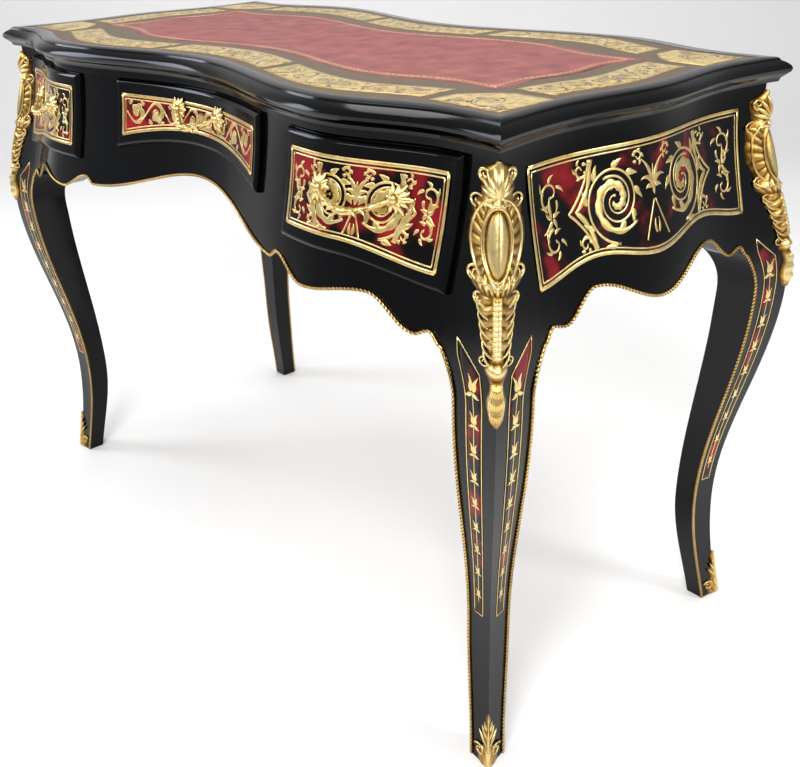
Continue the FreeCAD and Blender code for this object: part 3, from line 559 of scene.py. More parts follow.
def lay_marks(marks, centre, limits, foot, surface, base, rise, step=1):
    """Ribbons for a panel's marks, moved to its centre and held inside its limits; step thins small marks."""
    low, high = limits
    grids = []
    for line, wide in marks:
        wide = np.broadcast_to(wide, len(line))[::step]
        held = inside(line[::step] + centre, low, high, foot)
        grids.append((ribbon(held, wide, surface, base, rise), True, BRASS_LEVEL))
    return grids


def closed_sheet(wide, up, surface, base):
    """Thin closed sheet: one ring per column, up the face of a grid and back down its underside."""
    face = surface(wide, up, np.full(up.shape, base))
    under = surface(wide, up, np.full(up.shape, SEAT_GAP))
    return closed_sweep(np.concatenate([face, under[::-1]]).transpose(1, 0, 2))


def panel_ground(low, high, foot, surface, base, columns=60, rows=14):
    """Closed thin sheet over a panel: a grid across it, and up from the foot line to the top."""
    across = np.linspace(low[0], high[0], columns)
    share = np.linspace(0, 1, rows)[:, None]
    up = foot(across)[None] + (high[1] - foot(across)[None]) * share
    wide = np.broadcast_to(across, up.shape)
    return [(closed_sheet(wide, up, surface, base), True, 0.5)]


def panel_border(low, high, foot, surface, base, inset, wide, rise):
    """Brass line round a panel at an inset from its edges."""
    count, end_count = 40, 16
    across = np.linspace(low[0] + inset, high[0] - inset, count)
    lines = [np.stack([across, foot(across) + inset], -1),
             np.stack([across, np.full(count, high[1] - inset)], -1)]
    for end in (across[0], across[-1]):
        up = np.linspace(foot(np.array([end]))[0] + inset, high[1] - inset, end_count)
        lines.append(np.stack([np.full(end_count, end), up], -1))
    return [(ribbon(line, wide, surface, base, rise), True, BRASS_LEVEL) for line in lines]


def marquetry_panel(name, low, high, foot, surface, cells, body, nodes, ground="shell"):
    """Shell ground with brass border lines, and a brass vine or, with no cells, the scrolls of a panel."""
    sheet = panel_ground(low, high, foot, surface, MARQUETRY)
    make_piece(name + "_ground", sheet, ground, body, nodes)
    lines = []
    for inset, wide, rise in BORDER_LINES:
        lines += panel_border(low, high, foot, surface, MARQUETRY, inset, wide, rise)
    base_line = float(np.mean(foot(np.linspace(low[0], high[0], 9))))
    height = high[1] - base_line - ORNAMENT_DROP
    centre = np.array([(low[0] + high[0]) / 2, (high[1] + base_line) / 2])
    half = (high[0] - low[0]) / 2 - ORNAMENT_INSET
    marks = vine(half, height, cells, BRASS_WIDTH) if cells else panel_scrolls(half, height / 2, BRASS_WIDTH)
    limits = (np.array([low[0] + ORNAMENT_KEEP, 0]), high - ORNAMENT_KEEP)
    keep = lambda x: foot(x) + ORNAMENT_KEEP
    lines += lay_marks(marks, centre, limits, keep, surface, MARQUETRY, BRASS_RISE)
    make_piece(name + "_brass", lines, "brass", body)


def node_limits(node, axis):
    """Low and high corners of a panel node in its own plane: across along axis 0 or 1, and up."""
    low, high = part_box(node)
    return np.array([low[axis], low[2]]), np.array([high[axis], high[2]])


def drawer_foot(name, low, high):
    """Foot of a drawer's face or panel: a shallow arc in the middle, or level and then a half wave down."""
    if name == "centre":
        half = (high[0] - low[0]) / 2
        return lambda x: low[1] + CENTRE_ARCH * (1 - np.clip(np.abs(x) / half, 0, 1) ** 2)
    hand = -1 if name == "left" else 1
    inner, outer = (low[0], high[0]) if hand > 0 else (-high[0], -low[0])
    bend = inner + (outer - inner) * SIDE_DROP_SHARE
    return lambda x: ease(low[1] + SIDE_DROP, low[1], np.clip((hand * x - bend) / (outer - bend), 0, 1))


def end_foot(low, high):
    """Scalloped foot of the end panels: a squared sine, highest at the quarters."""
    half = (high[0] - low[0]) / 2
    return lambda y: low[1] + END_WAVE * np.sin(np.pi * y / half) ** 2


def make_marquetry():
    """Panels of the drawers, the same ones again on the back, and the panels of the two ends in a copy of the
    shell with more black, as painted shade.
    """
    for name in DRAWERS:
        node = name + "_drawer_marquetry"
        low, high = node_limits(node, 0)
        foot = drawer_foot(name, low, high)
        cells = 4 if name == "centre" else 0
        marquetry_panel(name + "_drawer_panel", low, high, foot, on_drawer, cells, name + "_drawer", (node,))
        nodes = ("back_marquetry",) if name == "centre" else ()
        marquetry_panel("back_%s_panel" % name, low, high, foot, on_front(1), cells, "desk_frame", nodes)
    for hand, name in HANDS:
        node = name + "_marquetry"
        low, high = node_limits(node, 1)
        marquetry_panel(name + "_end_panel", low, high, end_foot(low, high), on_end(hand), 0, "desk_frame",
                        (node,), "shell_painted_shade")


# Leg strips
STRIP_FOOT, STRIP_TOP = 0.206, 0.568
STRIP_SLANT = 28 * MM
STRIP_INNER_SHARE, STRIP_OUTER_SHARE = 0.72, 0.34
STRIP_POINTS = 60
STRIP_EDGE = 0.7 * MM
STRIP_STEM = 0.6 * MM
STRIP_RISE = 0.25 * MM
# (tilt, length as a share of the half width, bend)
STRIP_LEAVES = ((0.15, 1.3, 0.5), (0.8, 0.85, -0.9), (2.4, 0.8, -0.8))


def leg_strip(corner, hand, surface):
    """Ground sheet of one leg strip, and its edge lines, stem and paired leaves in brass."""
    z = np.linspace(STRIP_FOOT, STRIP_TOP, STRIP_POINTS)
    low = z - STRIP_SLANT * np.linspace(0, 1, STRIP_POINTS)
    inner = corner + swell(z) - leg_width(np.minimum(z, LEG_TOP)) * STRIP_INNER_SHARE
    outer = corner + swell(low) - leg_width(low) * STRIP_OUTER_SHARE
    across = np.linspace(0, 1, 5)
    wide = hand * (inner[:, None] * (1 - across) + outer[:, None] * across)
    up = z[:, None] * (1 - across) + low[:, None] * across
    ground = [(closed_sheet(wide.T, up.T, surface, MARQUETRY), True, 0.5)]
    net = np.stack([wide, up], -1)
    middle, half = net[:, 2], np.abs(wide[:, -1] - wide[:, 0]) / 2
    marks = [(line, STRIP_EDGE) for line in (net[:, 0], net[:, -1], net[0], net[-1])]
    marks.append((middle[3:-6], STRIP_STEM))
    for at in range(5, STRIP_POINTS - 6, 6):
        for side in (-1, 1):
            for tilt, size, bend in STRIP_LEAVES:
                heading = np.pi / 2 + side * tilt
                marks.append(leaf(middle[at], heading, half[at] * size, side * bend, 0.15 * half[at]))
    brass = [(ribbon(line, fat, surface, MARQUETRY, STRIP_RISE), True, BRASS_LEVEL) for line, fat in marks]
    return ground, brass


def drawer_block(name):
    """Raised drawer front: its face stands a lip proud of the frieze, with quarter-round edges."""
    node = name + "_drawer_front"
    low, high = node_limits(node, 0)
    foot = drawer_foot(name, low, high)
    share = ease(0, 1, np.linspace(0, 1, 96))
    across = low[0] + (high[0] - low[0]) * share
    rise = ease(0, 1, np.linspace(0, 1, 56))[:, None]
    up = foot(across) + (high[1] - foot(across)) * rise
    wide = np.broadcast_to(across, up.shape)
    edge = np.minimum.reduce([wide - low[0], high[0] - wide, up - foot(across), high[1] - up])
    inward = DRAWER_ROUND - np.clip(edge, 0, DRAWER_ROUND)
    out = LIP - DRAWER_ROUND + np.sqrt(DRAWER_ROUND ** 2 - inward ** 2)
    face = on_front(-1)(wide, up, out)
    back = np.stack([wide, np.full(up.shape, -DRAWER_BACK_PLANE), up], -1)
    block = closed_sweep(np.concatenate([face, back[::-1]]).transpose(1, 0, 2))
    piece = make_piece("lacquered_%s_drawer_front" % name, [(block, True, 0.5)], "lacquer", name + "_drawer",
                       (node,))
    piece.data.set_sharp_from_angle(angle=BLOCK_ANGLE)


def make_leg_strips():
    """All eight strips, as one ground and one brass piece."""
    ground, brass = [], []
    for hand in (-1, 1):
        for corner, on_side in ((CORNER_HALF_WIDTH, on_front), (CORNER_HALF_DEPTH, on_end)):
            for face in (-1, 1):
                sheet, lines = leg_strip(corner, hand, on_side(face))
                ground += sheet
                brass += lines
    make_piece("leg_strip_ground", ground, "strip_shell", "desk_frame", ("leg_marquetry",))
    make_piece("leg_strip_brass", brass, "brass", "desk_frame")


# Beading
BEAD_RADIUS = 1.7 * MM
BEAD_OUT = 1.4 * MM
BEAD_STEP = 0.8 * MM
BEAD_FOOT = 2 * MM
ROPE_SIDES = 8
ROPE_STRANDS = 2
ROPE_DEPTH = 0.28
ROPE_TWIST = 2 * np.pi / (5 * MM)


def apron_line(post, rise, shares, count=40):
    """Lower edge of an apron from leg to leg, as half waves between its given shares."""
    half = []
    for (a, low), (b, high) in zip(shares, shares[1:]):
        t = np.linspace(0, 1, count, endpoint=False)
        half.append(np.stack([post * (a + (b - a) * t), LEG_TOP + rise * ease(low, high, t)], -1))
    half = np.concatenate(half + [np.array([[post, LEG_TOP]])])
    return np.concatenate([half[::-1], half[1:] * [-1, 1]])


def even(line, spacing):
    """The same line with points at even spacing."""
    travel = np.concatenate([[0], np.cumsum(np.linalg.norm(np.diff(line, axis=0), axis=1))])
    at = np.linspace(0, travel[-1], max(int(travel[-1] / spacing), 2))
    return np.stack([np.interp(at, travel, line[:, k]) for k in range(line.shape[1])], -1)


def bead_path(corner, post, rise, shares, surface):
    """Whole run of a bead: up one leg, along the apron and down the other leg, on the surface."""
    z = np.linspace(BEAD_FOOT, LEG_TOP, 90)
    leg = np.stack([corner + swell(z) - leg_width(z), z], -1)
    line = np.concatenate([leg, apron_line(post, rise, shares)[1:-1], (leg * [-1, 1])[::-1]])
    spaced = even(line, BEAD_STEP)
    return surface(spaced[:, 0], spaced[:, 1], np.full(len(spaced), BEAD_OUT))


def make_beads():
    """Rope beads: tubes of two strands that twist along the edge, bright on the strands, dark between."""
    long_shape = (CORNER_HALF_WIDTH, POST_X, FRONT_ARCH_RISE, FRONT_EDGE_SHARES)
    end_shape = (CORNER_HALF_DEPTH, POST_Y, SIDE_ARCH_RISE, SIDE_EDGE_SHARES)
    angle = np.linspace(0, 2 * np.pi, ROPE_SIDES, endpoint=False)
    for name, shape, surface in (("front", long_shape, on_front(-1)), ("back", long_shape, on_front(1)),
                                 ("left", end_shape, on_end(-1)), ("right", end_shape, on_end(1))):
        outward = surface(0.0, 0.0, 1.0) - surface(0.0, 0.0, 0.0)
        rope = tube(bead_path(*shape, surface), BEAD_RADIUS, outward, ROPE_SIDES, ROPE_STRANDS, ROPE_DEPTH,
                    ROPE_TWIST)
        turn = angle * ROPE_STRANDS + ROPE_TWIST * BEAD_STEP * np.arange(len(rope))[:, None]
        make_piece(name + "_rope_bead", [(rope, True, 0.45 + 0.45 * np.cos(turn))], "gilt", "desk_frame",
                   (name + "_bead",))


# Bronze corner mounts: shares are of the mount's length from the top, and of its half width
MOUNT_TOP = 0.742
MOUNT_LENGTH = 0.249
MOUNT_HALF_WIDTH = 32.5 * MM
MOUNT_SPREAD = 1.18
MOUNT_WIDTHS = ((0.0, 0.1), (0.05, 0.62), (0.13, 0.56), (0.19, 0.86), (0.30, 1.0), (0.41, 0.80),
                (0.455, 0.92), (0.50, 0.66), (0.64, 0.52), (0.735, 0.28), (0.775, 0.42), (0.83, 0.24),
                (0.91, 0.36), (0.97, 0.28), (1.0, 0.06))
SHELL_DOWN, SHELL_SHARE = 52 * MM, 0.17
OVAL_DOWN = 76 * MM
OVAL_HALF_WIDTH, OVAL_HALF_HEIGHT = 12.5 * MM, 30 * MM
FRAME_SHARES = (0.165, 0.455)
COLLAR_SHARE = 0.465
DROP_SHARES = (0.49, 0.73)
COLUMN_HALF_WIDTH = 5.5 * MM
KNOT_SHARE = 0.765
BUD_SHARE = 0.80
# Heights of the chased relief, and how often its flutes and ribs repeat
SHELL_RELIEF, SHELL_FLUTES = 2.2 * MM, 4.5
BOSS_RELIEF, RING_RELIEF = 4.5 * MM, 2.6 * MM
GADROON_RELIEF, GADROONS = 2.2 * MM, 16
COLLAR_RELIEF, KNOT_RELIEF = 3.2 * MM, 4.0 * MM
RIB_BASE, RIB_RELIEF, RIBS = 1.8 * MM, 1.5 * MM, 54
LEAFAGE_RELIEF, LEAFAGE_RIBS = 2.0 * MM, 24
BUD_RELIEF, LUMP_RELIEF = 4.0 * MM, 1.6 * MM
# (down, size, way up) of the C-scrolls; (half width, half height, out, thickness) of the oval rims
SIDE_SCROLLS = ((40 * MM, 0.9, 1), (108 * MM, 1.0, -1), (128 * MM, 0.8, 1), (186 * MM, 0.6, -1))
OVAL_RIMS = ((27.5 * MM, 41 * MM, 1.5 * MM, 2.0 * MM), (17 * MM, 33 * MM, 3.5 * MM, 1.2 * MM))
CURL_OFFSET, CURL_REACH, CURL_OUT, CURL_THICK = 19 * MM, 8 * MM, 2.5 * MM, 1.9 * MM
# Fronds beside the drop, leaves and volutes of the crest, wings of the collar
FRONDS, FROND_REACH, FROND_SHORTER = 7, 15.5 * MM, 1.2 * MM
FROND_OFFSET, FROND_DOWN, FROND_PITCH, FROND_LIFT = 4 * MM, 136 * MM, 8.5 * MM, 12 * MM
CREST_LEAVES, CREST_REACH, CREST_SHORTER, CREST_DOWN = 4, 31 * MM, 3 * MM, 34 * MM
VOLUTE_OFFSET, VOLUTE_DOWN, VOLUTE_REACH = 13.5 * MM, 14 * MM, 6.5 * MM
WING_OFFSET, WING_LENGTH, WING_DOWN = 6 * MM, 24 * MM, 112 * MM

# Foot mounts
SABOT_TOP, SABOT_LENGTH = 74 * MM, 72 * MM
SABOT_HALF_WIDTH = 15.5 * MM
SABOT_WIDTHS = ((0, 0.05), (0.14, 0.24), (0.30, 0.17), (0.46, 0.46), (0.60, 0.36), (0.80, 0.85), (1.0, 0.95))
# Side loop of a foot mount, which stays off the floor
LOOP_OFFSET, LOOP_HEIGHT, LOOP_LOWEST = 11.5 * MM, 17 * MM, 3.5 * MM
LOOP_REACH, LOOP_OUT, LOOP_THICK = 7.5 * MM, 2.0 * MM, 1.7 * MM
# (height of the base, length, lean)
SABOT_LEAVES = ((30 * MM, 20 * MM, 0.55), (40 * MM, 17 * MM, 0.40), (50 * MM, 13 * MM, 0.25))


def corner_wall(right, depth, z, offset):
    """Points on the two walls of a corner at heights z, offset metres to either side of its diagonal.

    A point lies root two times the offset from the arris: along the front or back wall, or along the end."""
    z, offset = np.broadcast_arrays(z, offset)
    away = np.abs(offset) * math.sqrt(2)
    sweep = swell(z)
    x = CORNER_HALF_WIDTH + sweep - away
    y = CORNER_HALF_DEPTH + sweep - away
    long_wall = np.stack([right * x, depth * front_depth(x, sweep), z], -1)
    end_wall = np.stack([right * side_width(y, sweep), depth * y, z], -1)
    return np.where((offset < 0)[..., None], long_wall, end_wall)


def diagonal(right, depth):
    """Outward direction of a corner."""
    return np.array([right, depth, 0]) / math.sqrt(2)


def mount_relief(t, v, half):
    """Height of the chased relief: shell flutes, ribbed cartouche, oval boss, ribbed drop, lumpy bud."""
    across, down = t * half, v * MOUNT_LENGTH
    near = lambda share: np.exp(-((v - share) / 0.022) ** 2)
    flutes = np.abs(np.cos(SHELL_FLUTES * np.arctan2(across, SHELL_DOWN - down)))
    shell = SHELL_RELIEF * flutes * (v < SHELL_SHARE)
    oval_x, oval_z = across / OVAL_HALF_WIDTH, (down - OVAL_DOWN) / OVAL_HALF_HEIGHT
    oval = np.hypot(oval_x, oval_z)
    boss = BOSS_RELIEF * np.sqrt(np.clip(1 - oval ** 2, 0, 1))
    ring = RING_RELIEF * np.exp(-((oval - 1.22) / 0.10) ** 2)
    frame_zone = np.clip((oval - 1.35) / 0.1, 0, 1) * ((v > FRAME_SHARES[0]) & (v < FRAME_SHARES[1]))
    gadroon = GADROON_RELIEF * np.abs(np.cos(GADROONS * np.arctan2(oval_x, oval_z))) * frame_zone
    collar = COLLAR_RELIEF * near(COLLAR_SHARE) * (0.6 + 0.4 * np.cos(9 * np.pi * t))
    drop_zone = np.clip((v - DROP_SHARES[0]) / 0.02, 0, 1) * np.clip((DROP_SHARES[1] - v) / 0.02, 0, 1)
    column = np.clip((COLUMN_HALF_WIDTH - np.abs(across)) / MM, 0, 1) * drop_zone
    ribs = (RIB_BASE + RIB_RELIEF * np.abs(np.sin(RIBS * np.pi * v))) * column
    leafage = LEAFAGE_RELIEF * np.abs(np.sin(LEAFAGE_RIBS * np.pi * (v - 0.05 * np.abs(t))))
    frond = leafage * drop_zone * (1 - column)
    knot = KNOT_RELIEF * near(KNOT_SHARE)
    lumps = np.cos(5 * np.pi * t + 60 * v) * np.cos(5 * np.pi * t - 60 * v)
    bud_zone = np.clip((v - BUD_SHARE) / 0.03, 0, 1) * np.clip((1 - v) / 0.05, 0, 1)
    bud = (BUD_RELIEF + LUMP_RELIEF * lumps) * bud_zone
    return shell + boss + ring + gadroon + collar + ribs + frond + knot + bud


def mount_body(right, depth):
    """Shield over a corner: rounded across the arris, edges on the wood, relief added along the diagonal."""
    v = np.linspace(0, 1, 260)
    z = MOUNT_TOP - MOUNT_LENGTH * v
    scallop = 1 + 0.12 * np.cos(36 * np.pi * v) * ((v > 0.50) & (v < 0.72))
    half = MOUNT_HALF_WIDTH * wave(v, MOUNT_WIDTHS) * scallop
    t = np.linspace(-1, 1, 61)
    edge = (1 - t ** 6)[None]
    relief = mount_relief(t[None], v[:, None], half[:, None]) * edge
    rounding = half[:, None] * (np.abs(t) - np.abs(t) ** 1.7)
    thick = rounding + 0.8 * MM + 1.4 * MM * edge + relief
    shade = np.clip(0.05 + relief / (3.6 * MM), 0, 0.9)
    return laid_shield(right, depth, z, half[:, None] * t, thick, shade)


def laid_shield(right, depth, z, offset, thick, shade):
    """Closed plate on a corner: rings of its face, thick metres out along the diagonal, and its back."""
    wall = corner_wall(right, depth, z[:, None], offset)
    rows = np.concatenate([wall + thick[..., None] * diagonal(right, depth), wall[:, ::-1]], 1)
    level = np.concatenate([shade, np.zeros(shade.shape)], 1)
    return closed_sweep(rows), True, np.concatenate([level[:1], level, level[-1:]])


def curls(right, depth, strokes):
    """Scrolls on both walls of a corner: tubes along strokes of (offset, height, out, radius), in metres."""
    outward = diagonal(right, depth)
    grids = []
    for side in (-1, 1):
        for offset, z, out, radius in strokes:
            line = corner_wall(right, depth, z, side * offset)
            lifted = line + np.broadcast_to(out, z.shape)[:, None] * outward
            grids.append(tube_with_painted_shade(lifted, radius, outward))
    return grids


def bell(t, low):
    """Half sine from end to end, held off zero near them."""
    return np.sin(np.pi * np.clip(t, low, 0.97))


def mount_scrolls(right, depth):
    """C-scrolls, fronds beside the drop, the crest's leaves and volutes, the collar's wings and oval rims."""
    t = np.linspace(0, 1, 40)
    turn = np.pi * (0.5 - 2.6 * t)
    strokes = []
    for down, size, flip in SIDE_SCROLLS:
        reach = CURL_REACH * size * (1 - 0.7 * t)
        strokes.append((MOUNT_SPREAD * (CURL_OFFSET * size + reach * np.cos(turn)),
                        down + flip * reach * np.sin(turn), CURL_OUT, CURL_THICK * size * (1 - 0.5 * t)))
    for index in range(FRONDS):
        reach = FROND_REACH - FROND_SHORTER * index
        strokes.append((MOUNT_SPREAD * (FROND_OFFSET + reach * np.sin(np.pi * t / 2)),
                        FROND_DOWN + FROND_PITCH * index - FROND_LIFT * t ** 2, 5.5 * MM - 3.5 * MM * t,
                        1.5 * MM * bell(t, 0.03) ** 0.6))
    for index in range(CREST_LEAVES):
        lean, reach = 0.15 + 0.36 * index, (CREST_REACH - CREST_SHORTER * index) * t
        strokes.append((MOUNT_SPREAD * 0.72 * reach * np.sin(lean), CREST_DOWN - reach * np.cos(lean),
                        4 * MM + 4 * MM * np.sin(np.pi * t ** 0.8), 3.1 * MM * bell(t ** 1.3, 0.04) ** 0.6))
    reach = VOLUTE_REACH * (1 - 0.75 * t)
    strokes.append((VOLUTE_OFFSET + reach * np.cos(turn), VOLUTE_DOWN + reach * np.sin(turn), 4.5 * MM,
                    2.4 * MM * (1 - 0.5 * t)))
    drop = WING_DOWN + 6 * MM * t - 12 * MM * t ** 3
    strokes.append((WING_OFFSET + WING_LENGTH * t, drop, 7.0 * MM - 4.5 * MM * t,
                    2.6 * MM * bell(0.15 + 0.8 * t, 0)))
    for wide, tall, out, thick in OVAL_RIMS:
        offset, down = wide * np.sin(np.pi * t), OVAL_DOWN - tall * np.cos(np.pi * t)
        half = MOUNT_HALF_WIDTH * wave(down / MOUNT_LENGTH, MOUNT_WIDTHS)
        share = np.clip(offset / half, 0, 1)
        strokes.append((offset, down, half * (share - share ** 1.7) + out, thick))
    placed = [(offset, MOUNT_TOP - down, out, radius) for offset, down, out, radius in strokes]
    return curls(right, depth, placed)


def make_mounts():
    """A corner mount and a foot mount at each of the four corners."""
    for end, depth in (("front", -1), ("back", 1)):
        for right, hand in HANDS:
            corner = [mount_body(right, depth)] + mount_scrolls(right, depth)
            for kind, grids in (("corner", corner), ("foot", foot_mount(right, depth))):
                name = "%s_%s_%s" % (end, hand, kind)
                make_piece("bronze_" + name, grids, "gilt", "desk_frame", (name + "_mount",))


def foot_mount(right, depth):
    """Leaf mount of a foot: a flame leaf on the arris over a rolled toe with two side loops."""
    v = np.linspace(0, 1, 90)
    half = SABOT_HALF_WIDTH * wave(v, SABOT_WIDTHS)
    t = np.linspace(-1, 1, 31)
    edge = (1 - t ** 6)[None]
    vein = np.abs(np.cos(2.5 * np.pi * t[None] + 14 * v[:, None] * np.sign(t)[None]))
    relief = (0.8 * MM + 1.4 * MM * vein + 2.0 * MM * np.exp(-(t / 0.25) ** 2)[None]) * edge
    rounding = half[:, None] * (np.abs(t) - np.abs(t) ** 1.6)
    plate = laid_shield(right, depth, SABOT_TOP - SABOT_LENGTH * v, half[:, None] * t,
                        rounding + 0.3 * MM + relief, np.clip(relief / (4 * MM), 0, 1))
    s = np.linspace(0, 1, 44)
    turn = np.pi * (0.2 + 2.4 * s)
    reach = LOOP_REACH * (1 - 0.72 * s)
    height = np.maximum(LOOP_HEIGHT + reach * np.sin(turn), LOOP_LOWEST)
    strokes = [(LOOP_OFFSET + reach * np.cos(turn), height, LOOP_OUT, LOOP_THICK * (1 - 0.45 * s))]
    for foot, size, lean in SABOT_LEAVES:
        strokes.append((2 * MM + size * s * np.sin(lean), foot + size * s * np.cos(lean),
                        3.2 * MM + 2 * MM * s, 2.0 * MM * bell(s ** 0.8, 0.05)))
    return [plate] + curls(right, depth, strokes)


# Cast drawer handles
ROSETTE_REACH = 15 * MM
# (direction, length in mm) of the leaves; (turn, share of the length) of their lobes
ROSETTE_LEAVES = ((0.0, 20), (0.95, 18), (-0.95, 19), (1.95, 16), (-1.95, 16), (3.1, 13))
LEAF_SPLITS = ((0.0, 1.0), (0.5, 0.8), (-0.5, 0.8))
LEAF_LIFT, LEAF_ARCH, LEAF_THICK = 1.6 * MM, 4.0 * MM, 3.4 * MM
BERRY_RING, BERRY_RADIUS, BERRY_LIFT = 3.4 * MM, 2.2 * MM, 6.2 * MM
SEAT_RADIUS, SEAT_LIFT = 6.0 * MM, 5.0 * MM
GRIP_LIFT, GRIP_THICK, GRIP_WAVE, KNOP_THICK = 6 * MM, 2.6 * MM, 0.9 * MM, 2.0 * MM
GRIP_PITCH = 16 * MM
GRIP_FROND_SHARES = (0.30, 0.40)
GRIP_FALL = np.array([0, -17 * MM, -15 * MM])
GRIP_POINTS = 110


def surface_lift(x, z):
    """Depth of a drawer panel's face at (x, z)."""
    return -front_depth(x, swell(z) + LIP + MARQUETRY)


def rosette(x, z, side):
    """Leaf cluster: flat split leaves that fan out over the seat, arched from base to tip, and berries."""
    t = np.linspace(0, 1, 18)
    rise = LEAF_LIFT + LEAF_ARCH * np.sin(np.pi * t ** 0.8) * (1.1 - t)
    blade = LEAF_THICK * bell(t ** 1.2, 0.03) ** 0.6
    grids = []
    for lean, size in ROSETTE_LEAVES:
        for split, share in LEAF_SPLITS:
            heading = lean + split * t ** 0.5
            px = x + side * size * MM * share * t * np.cos(heading)
            pz = z + size * MM * share * t * np.sin(heading)
            spine = np.stack([px, surface_lift(px, pz) - rise, pz], -1)
            grids.append(tube_with_painted_shade(spine, blade, FORWARD, 8, 0.5))
    for angle in np.linspace(0, 2 * np.pi, 6, endpoint=False):
        px, pz = x + BERRY_RING * np.cos(angle), z + BERRY_RING * np.sin(angle)
        grids.append((ball(px, surface_lift(px, pz) - BERRY_LIFT, pz, BERRY_RADIUS), True, 0.9))
    grids.append((ball(x, surface_lift(x, z) - SEAT_LIFT, z, SEAT_RADIUS), True, 0.7))
    return grids


def ball(x, y, z, radius):
    """Sphere from latitude and longitude, its poles closed."""
    rise = np.linspace(-np.pi / 2, np.pi / 2, 10)[:, None]
    turn = np.linspace(0, 2 * np.pi, 12, endpoint=False)[None]
    return np.stack([x + radius * np.cos(rise) * np.cos(turn), y + radius * np.cos(rise) * np.sin(turn),
                     z + radius * np.sin(rise) + 0 * turn], -1)


def handle(name):
    """One cast handle: two rosettes and a leafy grip that hangs between them."""
    low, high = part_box(name + "_drawer_handle")
    z = high[2] - ROSETTE_REACH
    grids, ends = [], []
    for side, x in ((-1, low[0] + ROSETTE_REACH), (1, high[0] - ROSETTE_REACH)):
        grids += rosette(x, z, side)
        ends.append(np.array([x, float(surface_lift(x, z)) - GRIP_LIFT, z]))
    t = np.linspace(0, 1, GRIP_POINTS)
    grip = ends[0] * (1 - t[:, None]) + ends[1] * t[:, None] + np.sin(np.pi * t)[:, None] * GRIP_FALL
    knop = KNOP_THICK * np.exp(-((t - 0.5) / 0.10) ** 2)
    thick = GRIP_THICK + knop + GRIP_WAVE * np.cos(10 * np.pi * t) ** 2
    grids.append((tube(grip, thick, FORWARD, 12, 4, 0.10, 2 * np.pi / GRIP_PITCH), True, 0.7))
    s = np.linspace(0, 1, 14)
    for side in (-1, 1):
        for at in GRIP_FROND_SHARES:
            start = grip[int((0.5 + side * (0.5 - at)) * (GRIP_POINTS - 1))]
            run = np.stack([side * 12 * MM * s, -3 * MM * s, 5 * MM * s - 9 * MM * s ** 2], -1)
            frond = 2.4 * MM * np.sin(np.pi * np.clip(s, 0.05, 0.96))
            grids.append(tube_with_painted_shade(start + run, frond, FORWARD))
    make_piece("bronze_%s_handle" % name, grids, "gilt", name + "_drawer",
               (name + "_drawer_handle",))


# Top
LEATHER_MARGIN = 0.108
LEATHER_WAVE_SHARE = 0.72
LEATHER_DEPTH = 1.6 * MM
# (inset, half width, points to a dash or 0 for a whole line)
TOOL_LINES = ((8 * MM, 0.35 * MM, 0), (11.5 * MM, 1.0 * MM, 6), (15 * MM, 0.35 * MM, 0))
TOOL_RISE = 0.12 * MM
PLATE_SEAT = DESK_HEIGHT - 0.4 * MM
PLATE_THICKNESS = 0.35 * MM
PLATE_MARGINS = (0.030, 0.082)
PLATE_KEEP = 4 * MM
LONG_PLATES = ((-0.398, -0.136), (-0.118, 0.118), (0.136, 0.398))
END_PLATE = 0.112
PLATE_CELLS = 3
SCROLL_WIDTH = 0.9 * MM
SCROLL_BASE = 0.3 * MM
SCROLL_RISE = 0.12 * MM
RIM_INSET, RIM_WIDTH = 2.2 * MM, 0.4 * MM
CARTOUCHE_LOW = np.array([0.416, 0.130])
CARTOUCHE_HIGH = np.array([CORNER_HALF_WIDTH, CORNER_HALF_DEPTH]) - 0.027
CARTOUCHE_CUT = (48 * MM, 41 * MM)


def leather_line(t, shrink):
    """Leather outline drawn in by shrink: x and depth along the front, and half the width and depth."""
    half_width = CORNER_HALF_WIDTH - LEATHER_MARGIN - shrink
    half_depth = CORNER_HALF_DEPTH - LEATHER_MARGIN - shrink
    front = half_depth + LEATHER_WAVE_SHARE * wave(np.abs(t), FRONT_WAVE)
    return half_width * t, front, half_width, half_depth


def make_leather():
    """Leather sheet as a grid from its front line to its back line, bowed at the ends, with gilt tooling."""
    t = np.linspace(-1, 1, 161)
    s = np.linspace(-1, 1, 61)[:, None]
    x, front = leather_line(t, 0)[:2]
    px = x[None] + LEATHER_WAVE_SHARE * wave(np.abs(s), SIDE_WAVE) * t[None] ** 9
    py = front[None] * s
    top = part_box("writing_leather")[1][2]
    flat = lambda a, b, out: np.stack([a, b, top + out], -1)
    sheet = lambda a, b, out: flat(a, b, np.where(out > SEAT_GAP, 0, -LEATHER_DEPTH))
    make_piece("leather_writing_sheet", [(closed_sheet(px, py, sheet, 1.0), True, 0.5)], "leather",
               "desk_frame", ("writing_leather",))
    ends = np.linspace(-1, 1, 60)
    grids = []
    for shrink, wide, dash in TOOL_LINES:
        x, front, half_width, half_depth = leather_line(t, shrink)
        side = half_width + LEATHER_WAVE_SHARE * wave(np.abs(ends), SIDE_WAVE)
        for hand in (-1, 1):
            for line in (np.stack([x, hand * front], -1), np.stack([hand * side, ends * half_depth], -1)):
                runs = [line]
                if dash:
                    line = even(line, MM)
                    runs = [line[at:at + dash] for at in range(0, len(line) - dash, dash + 2)]
                grids += [(ribbon(run, wide, flat, 0, TOOL_RISE), True, 0.9) for run in runs]
    make_piece("leather_gilt_tooling", grids, "brass", "desk_frame")


